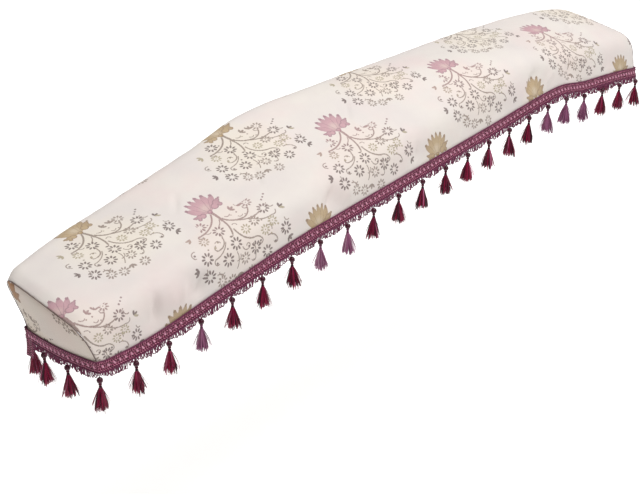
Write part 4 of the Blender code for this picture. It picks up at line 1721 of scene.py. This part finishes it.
def build_braid():
    """The tape, its two cords and its pads."""
    pieces = [add_piece("braid_tape", band(TAPE, braid_run, TAPE_SWAY), (braid_tape,))]
    pieces.append(add_piece("braid_loose_end", loose_end(), (braid_tape,)))
    for name, up in CORDS:
        pieces.append(add_piece(name, band(cord_profile(up), braid_run, 0.0), (braid_cord,)))
    pads = bmesh.new()
    for side in SIDES_ROUND:
        count = gaps_of(side) * PADS_PER_GAP
        for k in range(count):
            place = hem_place(side, (k + 0.5) / count)
            join_in(pads, one_pad(), stand_at(place, BRAID_WIDTH / 2, GAP + PAD_OUT))
    pieces.append(add_piece("braid_pads", pads, (pad_floss,)))
    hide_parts("hem_braid")
    return pieces


braid = build_braid()
print("braid:", sum(len(piece.data.polygons) for piece in braid), "faces")

# %% [markdown]
# ## Drawing out a ring
#
# Threads, beads and strands are all made alike: a small ring of points is drawn out step by step, and
# moved, turned or widened at each step. For a thread the ring turns as its way turns. A curve with a
# bevel would do the same, but many are harder to join into one mesh.

# %% Drawing out a ring
def first_ring(bm, radius, sides):
    """A capped ring round 0: its points, its edges and its cap."""
    ring = bmesh.ops.create_circle(bm, cap_ends=True, radius=radius, segments=sides)["verts"]
    cap = ring[0].link_faces[0]
    return ring, list(cap.edges), cap


def next_ring(bm, edges):
    """Draw a ring out by one row of faces: the new ring's points, its edges and those faces."""
    grown = bmesh.ops.extrude_edge_only(bm, edges=edges)["geom"]
    ring = [item for item in grown if isinstance(item, bmesh.types.BMVert)]
    edges = [e for e in grown if isinstance(e, bmesh.types.BMEdge) and all(v in ring for v in e.verts)]
    return ring, edges, [item for item in grown if isinstance(item, bmesh.types.BMFace)]


def tube(bm, path, radius, sides):
    """A thread along a path: its ring is moved from point to point and turned with the path."""
    ring, edges, _ = first_ring(bm, radius, sides)
    heading = (path[1] - path[0]).normalized()
    turn = Vector((0, 0, 1)).rotation_difference(heading).to_matrix()
    bmesh.ops.rotate(bm, verts=ring, cent=(0, 0, 0), matrix=turn)
    bmesh.ops.translate(bm, verts=ring, vec=path[0])
    for k in range(1, len(path)):
        ring, edges, _ = next_ring(bm, edges)
        bmesh.ops.translate(bm, verts=ring, vec=path[k] - path[k - 1])
        onward = (path[min(k + 1, len(path) - 1)] - path[k - 1]).normalized()
        turn = heading.rotation_difference(onward).to_matrix()
        bmesh.ops.rotate(bm, verts=ring, cent=path[k], matrix=turn)
        heading = onward
    bmesh.ops.contextual_create(bm, geom=edges)


trial = bmesh.new()
tube(trial, [Vector((0, 0, -0.01 * k)) for k in range(3)], 0.001, 5)
print("a thread of three rings has", len(trial.faces), "faces")
trial.free()

# %% [markdown]
# ## One loop of the fringe
#
# Under the braid hangs one thread, caught up in loop after loop. It is twisted hard, so its loops kink
# and cross over at the top. Its finish is the same twist as the braid's cords, but finer.

# %% One loop
LOOP_THREAD = 0.00085    # radius
LOOP_SIDES = 5
LOOP_STEPS = 12
LOOP_WIDTH = 0.0030      # half of it
LOOP_ROOT = 0.0022       # how far its two ends reach up behind the braid's cord
LOOP_TURN = 0.94 * math.tau              # nearly a full turn, so the ends stay apart
LOOP_NARROW = 0.35       # how wide it is at the top, against its widest
LOOP_THROW = 0.0006      # how far it swings out of its own plane
LOOP_DARK = by_eye(62, 12, 36)
LOOP_LIGHT = by_eye(158, 62, 108)
TWIST_LOOPS = 700        # turns to a metre


def loop_path(depth, kink):
    """A loop of thread that hangs from 0 down to its depth, and crosses itself near the top."""
    path = []
    for k in range(LOOP_STEPS + 1):
        turn = LOOP_TURN * (k / LOOP_STEPS - 0.5)
        down = (1 + math.cos(turn)) / 2
        aside = math.sin(turn) * (LOOP_NARROW + (1 - LOOP_NARROW) * down) + kink * math.sin(2.5 * turn)
        height = LOOP_ROOT - (depth + LOOP_ROOT) * down
        path.append(Vector((LOOP_WIDTH * aside, LOOP_THROW * math.sin(turn), height)))
    return path


def one_loop(depth, kink):
    """One loop, with its own height and depth as its UV map."""
    bm = bmesh.new()
    tube(bm, loop_path(depth, kink), LOOP_THREAD, LOOP_SIDES)
    bmesh.ops.recalc_face_normals(bm, faces=bm.faces)
    lay = bm.loops.layers.uv.new("cut")
    for face in bm.faces:
        for loop in face.loops:
            loop[lay].uv = (loop.vert.co.z, loop.vert.co.y)
    return bm


loop_thread = twisted("twisted_loops", LOOP_DARK, LOOP_LIGHT, TWIST_LOOPS, 0.6)
print("a loop's way has", len(loop_path(0.01, 0.0)), "points")

# %% [markdown]
# ## The looped fringe
#
# The loops are short at each tassel and long halfway between two, so they make a row of scallops, 22
# loops to each. No two have the same width, lean and depth. They could be copies of a few, but at this
# size a repeat shows at once, and a loop costs little.

# %% Fringe
FRINGE_CUSP = 0.003
FRINGE_DEEP = 0.014
FRINGE_GAP = 0.0008
LOOPS_PER_GAP = 22


def build_fringe():
    """A loop for every few millimetres of the hem."""
    random.seed(11)
    total = bmesh.new()
    total.loops.layers.uv.new("cut")
    for side in SIDES_ROUND:
        count = gaps_of(side) * LOOPS_PER_GAP
        for k in range(count):
            share = (k % LOOPS_PER_GAP + 0.5) / LOOPS_PER_GAP
            depth = FRINGE_CUSP + (FRINGE_DEEP - FRINGE_CUSP) * math.sin(math.pi * share) ** 0.8
            loop = one_loop(depth + random.uniform(-0.0022, 0.0018), random.uniform(-0.35, 0.35))
            size = Matrix.Diagonal((random.uniform(0.7, 1.3), 1, 1, 1))
            turn = Matrix.Rotation(random.uniform(-0.9, 0.9), 4, "Z")
            lean = Matrix.Rotation(random.uniform(-0.4, 0.4), 4, "Y")
            stand = stand_at(hem_place(side, (k + 0.5) / count), 0.0, GAP + BRAID_THICK / 2)
            join_in(total, loop, stand @ lean @ turn @ size)
    piece = add_piece("loop_threads", total, (loop_thread,))
    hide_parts("loop_fringe")
    return piece


fringe = build_fringe()
print("fringe:", len(fringe.data.polygons), "faces")

# %% [markdown]
# ## The thread of the end seams
#
# The end panels are sewn in by hand with a dark thread, which shows in the groove as a fine uneven
# line. It is one thin round thread at either end, laid from the front braid over the top to the back
# one along the edge of the long cloth. Its dark colour is partly the stitching's and partly painted
# shade in the groove. A line in the finish would be lighter, but flat.

# %% The seam's thread
SEAM_THREAD = 0.0007     # radius
SEAM_IN = 0.0020         # how far inside the outer face of the long cloth it lies
SEAM_OUT = 0.0012        # and how far past the long cloth's edge
SEAM_WANDER = 0.0004     # and how unevenly
SEAM_STEPS = 110


def seam_path(end):
    """The way of the thread over one end."""
    x = END_X[end]
    line = girth_line(x)
    far = measured(line)
    path = []
    for k in range(SEAM_STEPS + 1):
        up = BRAID_WIDTH + (far[-1] - 2 * BRAID_WIDTH) * k / SEAM_STEPS
        point, run = at_distance(line, far, up)
        inside = point + Vector((run.y, -run.x)) * (SEAM_IN + SEAM_WANDER * uneven(up, x, 0.012, 6.0))
        path.append(tucked(x, inside.x, inside.y) + OUTWARD[end] * SEAM_OUT)
    return path


def build_seam_threads():
    """The dark threads of both end seams, whose colour is partly painted shade in the seam grooves."""
    total = bmesh.new()
    for end in END_X:
        tube(total, seam_path(end), SEAM_THREAD, 6)
    bmesh.ops.recalc_face_normals(total, faces=total.faces)
    piece = add_piece("seam_threads", total, (seam_thread_and_shade,))
    return piece


# painted shade: the seam thread's dark colour also darkens the seam groove
seam_thread_and_shade = floss("seam_thread_painted_shade", by_eye(120, 92, 84), by_eye(84, 62, 58), Vector((900, 900, 900)))
seams = build_seam_threads()
print("seam threads:", len(seams.data.polygons), "faces")

# %% [markdown]
# ## The tassels' yarn and beads
#
# The yarn is a silky crimson that turns burgundy in some strands and rosy in a few, so each strand
# carries its own tone. Six tassels of the front are of a faded mauve yarn. The beads are lacquered in
# a dark maroon. Matt yarn would look like wool, and a stronger gloss would turn grey under the lamp.

# %% Tassel finish
CRIMSON = by_eye(148, 2, 60)
BURGUNDY = by_eye(50, 0, 22)
ROSY = by_eye(214, 126, 166)
FADED_DEEP = by_eye(112, 54, 88)
FADED_BRIGHT = by_eye(166, 100, 138)
FADED_PALE = by_eye(214, 172, 194)
BEAD_DARK = by_eye(44, 2, 22)
BEAD_LIGHT = by_eye(84, 2, 40)


def yarn(name, deep, bright, pale):
    """Silky yarn whose tone differs from strand to strand."""
    material, g, shader = new_material(name)
    tone = g.add("ShaderNodeAttribute", attribute_name="tone").outputs["Fac"]
    streak = g.noise(g.vector("MULTIPLY", g.where(), Vector((1500, 1500, 250))), 1.0, 2.0)
    low = g.colour(g.step(tone, 0.2, 0.7), deep, bright)
    colour = g.colour(g.times(g.step(tone, 0.88, 0.98), 0.7), low, pale)
    colour = g.colour(g.times(g.step(streak, 0.55, 0.75), 0.2), colour, pale)
    g.plug(shader.inputs["Base Color"], colour)
    settle(shader, {"Roughness": 0.36, "Specular IOR Level": 0.22})
    return material


def glossy_bead():
    """A lacquered bead of dark maroon."""
    material, g, shader = new_material("burgundy_bead")
    cloud = g.noise(g.where(), 300.0, 1.0)
    g.plug(shader.inputs["Base Color"], g.colour(cloud, BEAD_DARK, BEAD_LIGHT))
    settle(shader, {"Roughness": 0.3, "Specular IOR Level": 0.25})
    settle(shader, {"Coat Weight": 0.25, "Coat Roughness": 0.05})
    return material


tassel_yarn = yarn("burgundy_yarn", BURGUNDY, CRIMSON, ROSY)
faded_yarn = yarn("mauve_yarn", FADED_DEEP, FADED_BRIGHT, FADED_PALE)
tassel_bead = glossy_bead()
print("three finishes for the tassels")

# %% [markdown]
# ## Turned pieces and strands
#
# Two ways of drawing out a ring make a whole tassel. A bead, a head or a bound neck is turned: its
# ring widens and narrows as it goes down. A strand keeps its width, follows a way of its own and thins
# at the end. Both set the tone of their points. The strands could be curves, but points of a mesh can
# carry a tone.

# %% Turned pieces and strands
STRAND_END = 0.55        # how thick a strand's end is, against the rest


def turned(bm, profile, sides, material_index, tone_layer, tone):
    """A turned piece: a small ring drawn down and widened or narrowed, step by step."""
    down, radius = profile[0]
    ring, edges, cap = first_ring(bm, radius, sides)
    bmesh.ops.translate(bm, verts=ring, vec=(0, 0, down))
    faces = [cap]
    points = list(ring)
    for next_down, next_radius in profile[1:]:
        ring, edges, fresh = next_ring(bm, edges)
        share = next_radius / radius
        bmesh.ops.translate(bm, verts=ring, vec=(0, 0, next_down - down))
        bmesh.ops.scale(bm, vec=(share, share, 1), verts=ring)
        faces += fresh
        points += ring
        down, radius = next_down, next_radius
    faces += bmesh.ops.contextual_create(bm, geom=edges)["faces"]
    for face in faces:
        face.material_index = material_index
    for point in points:
        point[tone_layer] = tone


def ball(middle, radius, steps):
    """The profile of a ball, from top to bottom."""
    profile = []
    for k in range(steps + 1):
        turn = math.pi * (0.06 + 0.88 * k / steps)
        profile.append((middle + radius * math.cos(turn), radius * math.sin(turn)))
    return profile


def strand(bm, path, radius, sides, tone_layer, tone):
    """A yarn that hangs along a path and thins a little at its end."""
    ring, edges, _ = first_ring(bm, radius, sides)
    bmesh.ops.translate(bm, verts=ring, vec=path[0])
    points = list(ring)
    for a, b in zip(path, path[1:]):
        ring, edges, _ = next_ring(bm, edges)
        bmesh.ops.translate(bm, verts=ring, vec=b - a)
        points += ring
    bmesh.ops.scale(bm, vec=(STRAND_END, STRAND_END, 1), space=Matrix.Translation(-path[-1]), verts=ring)
    bmesh.ops.contextual_create(bm, geom=edges)
    for point in points:
        point[tone_layer] = tone


print("a ball of 8 steps has", len(ball(0.0, 1.0, 8)), "rings")

# %% [markdown]
# ## One tassel
#
# Each tassel hangs on a thread from a cusp of the fringe. A glossy bead sits on the thread, under it
# a round head of folded yarn, then a neck bound with thread, and a skirt that flares below the neck.
# The skirt is modelled strand by strand, set round the neck like the seeds of a sunflower, with one
# lock that stands away and a few thin flyaways. A cone would be lighter, but its edge would be smooth.

# %% One tassel
HANGER = ((0.004, 0.0007), (-0.003, 0.0007), (-0.0062, 0.0008))     # the thread: height and radius
BEAD_AT = -0.0084        # below the tassel's own top
BEAD_RADIUS = 0.0059
HEAD_AT = -0.0165
HEAD_RADIUS = 0.0033
NECK_AT = -0.0238
NECK_RADIUS = 0.0031
NECK_HALF = 0.0030
WRAPS = 11               # edges of the thread wound round the neck
WRAP_STEP = 0.0006
WRAP_SUNK = 0.86         # how far the neck goes in between two turns of it
STRANDS = 64
STRAND_RADIUS = 0.00115
FLYAWAYS = 16
FLYAWAY_SHARE = 0.35     # of a strand's radius
SKIRT_LENGTH = 0.047
SKIRT_SPREAD = 0.0114
LOCK_HALF_WIDTH = 0.7    # radians: a part of the skirt that stands away from the rest
OFF_LOCK_SPREAD = 0.92
GOLDEN_TURN = math.radians(137.5)


def skirt_path(turn, spread, length, sway, steps):
    """The way a yarn falls from under the neck: out, over a soft belly, and down."""
    path = []
    for k in range(steps + 1):
        part = k / steps
        out = NECK_RADIUS * 0.55 + spread * (1.25 * part - 0.25 * part * part)
        bend = turn + sway * part * part
        path.append(Vector((out * math.cos(bend), out * math.sin(bend), NECK_AT + 0.001 - length * part)))
    return path


def one_tassel(seed):
    """A whole tassel, hanging from 0."""
    random.seed(seed)
    bm = bmesh.new()
    tone_layer = bm.verts.layers.float.new("tone")
    turned(bm, HANGER, 6, 0, tone_layer, 0.2)
    turned(bm, ball(BEAD_AT, BEAD_RADIUS, 8), 14, 1, tone_layer, 0.0)
    turned(bm, ball(HEAD_AT, HEAD_RADIUS, 6), 12, 0, tone_layer, 0.3)
    widths = [NECK_RADIUS * (1.0 if k % 2 else WRAP_SUNK) for k in range(WRAPS)]
    wraps = [(NECK_AT + NECK_HALF - WRAP_STEP * k, width) for k, width in enumerate(widths)]
    turned(bm, wraps, 10, 0, tone_layer, 0.1)
    lock_turn = random.uniform(0, math.tau)
    lock_spread = random.uniform(1.15, 1.5)
    for k in range(STRANDS):
        spread = SKIRT_SPREAD * math.sqrt((k + 0.5) / STRANDS) * random.uniform(0.85, 1.1)
        off_lock = math.remainder(k * GOLDEN_TURN - lock_turn, math.tau)
        spread *= lock_spread if abs(off_lock) < LOCK_HALF_WIDTH else OFF_LOCK_SPREAD
        length = SKIRT_LENGTH * random.uniform(0.86, 1.03)
        path = skirt_path(k * GOLDEN_TURN, spread, length, random.uniform(-0.35, 0.35), 6)
        strand(bm, path, STRAND_RADIUS, 5, tone_layer, random.random())
    for k in range(FLYAWAYS):
        spread = SKIRT_SPREAD * random.uniform(1.05, 1.65)
        length = SKIRT_LENGTH * random.uniform(0.8, 1.02)
        path = skirt_path(random.uniform(0, math.tau), spread, length, random.uniform(-0.8, 0.8), 5)
        strand(bm, path, STRAND_RADIUS * FLYAWAY_SHARE, 3, tone_layer, random.random())
    bmesh.ops.recalc_face_normals(bm, faces=bm.faces)
    mesh = bpy.data.meshes.new("tassel")
    bm.to_mesh(mesh)
    bm.free()
    return mesh


variants = [one_tassel(40 + k) for k in range(6)]
print("six tassels, the first with", len(variants[0].polygons), "faces")

# %% [markdown]
# ## Hanging the tassels
#
# Copies of the six tassels are hung in turn, one from each cusp of the fringe, and each is turned by
# its own angle, so no two beside each other look alike. Those of one side are joined into one piece.
# The tassel at the near back corner is pushed aside by the braid's loose end.

# %% Tassels
FADED = tuple(f"tassel_front_{k:02d}" for k in (3, 7, 8, 17, 18, 19))
BEHIND_LOOSE_END = Vector((0.004, -0.012, 0))      # how far the braid's end pushes that tassel


def tassel_spots():
    """Where the tassels hang, by the side that they belong to: the name of each and its place."""
    spots = {side: [] for side in OUTWARD}
    for side in ("front", "back"):
        for k in range(LONG_GAPS + 1):
            if k in (0, LONG_GAPS):
                fan = corner_fan(side, "near" if k == 0 else "far")
                out = OUTWARD[side] + fan[-1].out
                shift = BEHIND_LOOSE_END if (side, k) == ("back", 0) else Vector()
                place = HemPlace(fan[0].low + shift, fan[0].high + shift, out)
            else:
                place = hem_place(side, k / LONG_GAPS)
            spots[side].append((f"tassel_{side}_{k:02d}", place))
    for end in ("near", "far"):
        for k in range(1, END_GAPS):
            spots[end].append((f"tassel_{end}_{k:02d}", hem_place(end, k / END_GAPS)))
    return spots


def build_tassels():
    """Copies of the tassels under every cusp of the fringe, one piece to a side."""
    pieces = []
    turns = 0
    for side, spots in tassel_spots().items():
        total = bmesh.new()
        total.verts.layers.float.new("tone")
        for name, place in spots:
            part = bmesh.new()
            part.from_mesh(variants[turns % len(variants)])
            for face in part.faces:
                face.material_index += 2 if name in FADED and face.material_index == 0 else 0
            hang = place.low + place.out * (GAP + BRAID_THICK / 2)
            hang.z -= FRINGE_GAP + FRINGE_CUSP + GAP
            join_in(total, part, Matrix.Translation(hang) @ Matrix.Rotation(turns * GOLDEN_TURN, 4, "Z"))
            turns += 1
        piece = add_piece(f"tassels_{side}", total, (tassel_yarn, tassel_bead, faded_yarn))
        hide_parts(*[name for name, _ in spots])
        pieces.append(piece)
    for mesh in variants:
        bpy.data.meshes.remove(mesh)
    return pieces


tassels = build_tassels()
print("tassels:", [(piece.name, len(piece.data.polygons)) for piece in tassels])

# %% [markdown]
# ## The cut area
#
# The trimming is sewn to the three sheets. The long cloth's area before it is sewn is its girth,
# added up along its length.

# %% Cut area
AREA_STEPS = 400


def cut_area():
    """The area of the long cloth before it is sewn: its girth, added up along its length."""
    girths = [measured(girth_line(along((k + 0.5) / AREA_STEPS)))[-1] for k in range(AREA_STEPS)]
    return sum(girths) * LENGTH / AREA_STEPS


round(cut_area(), 3)
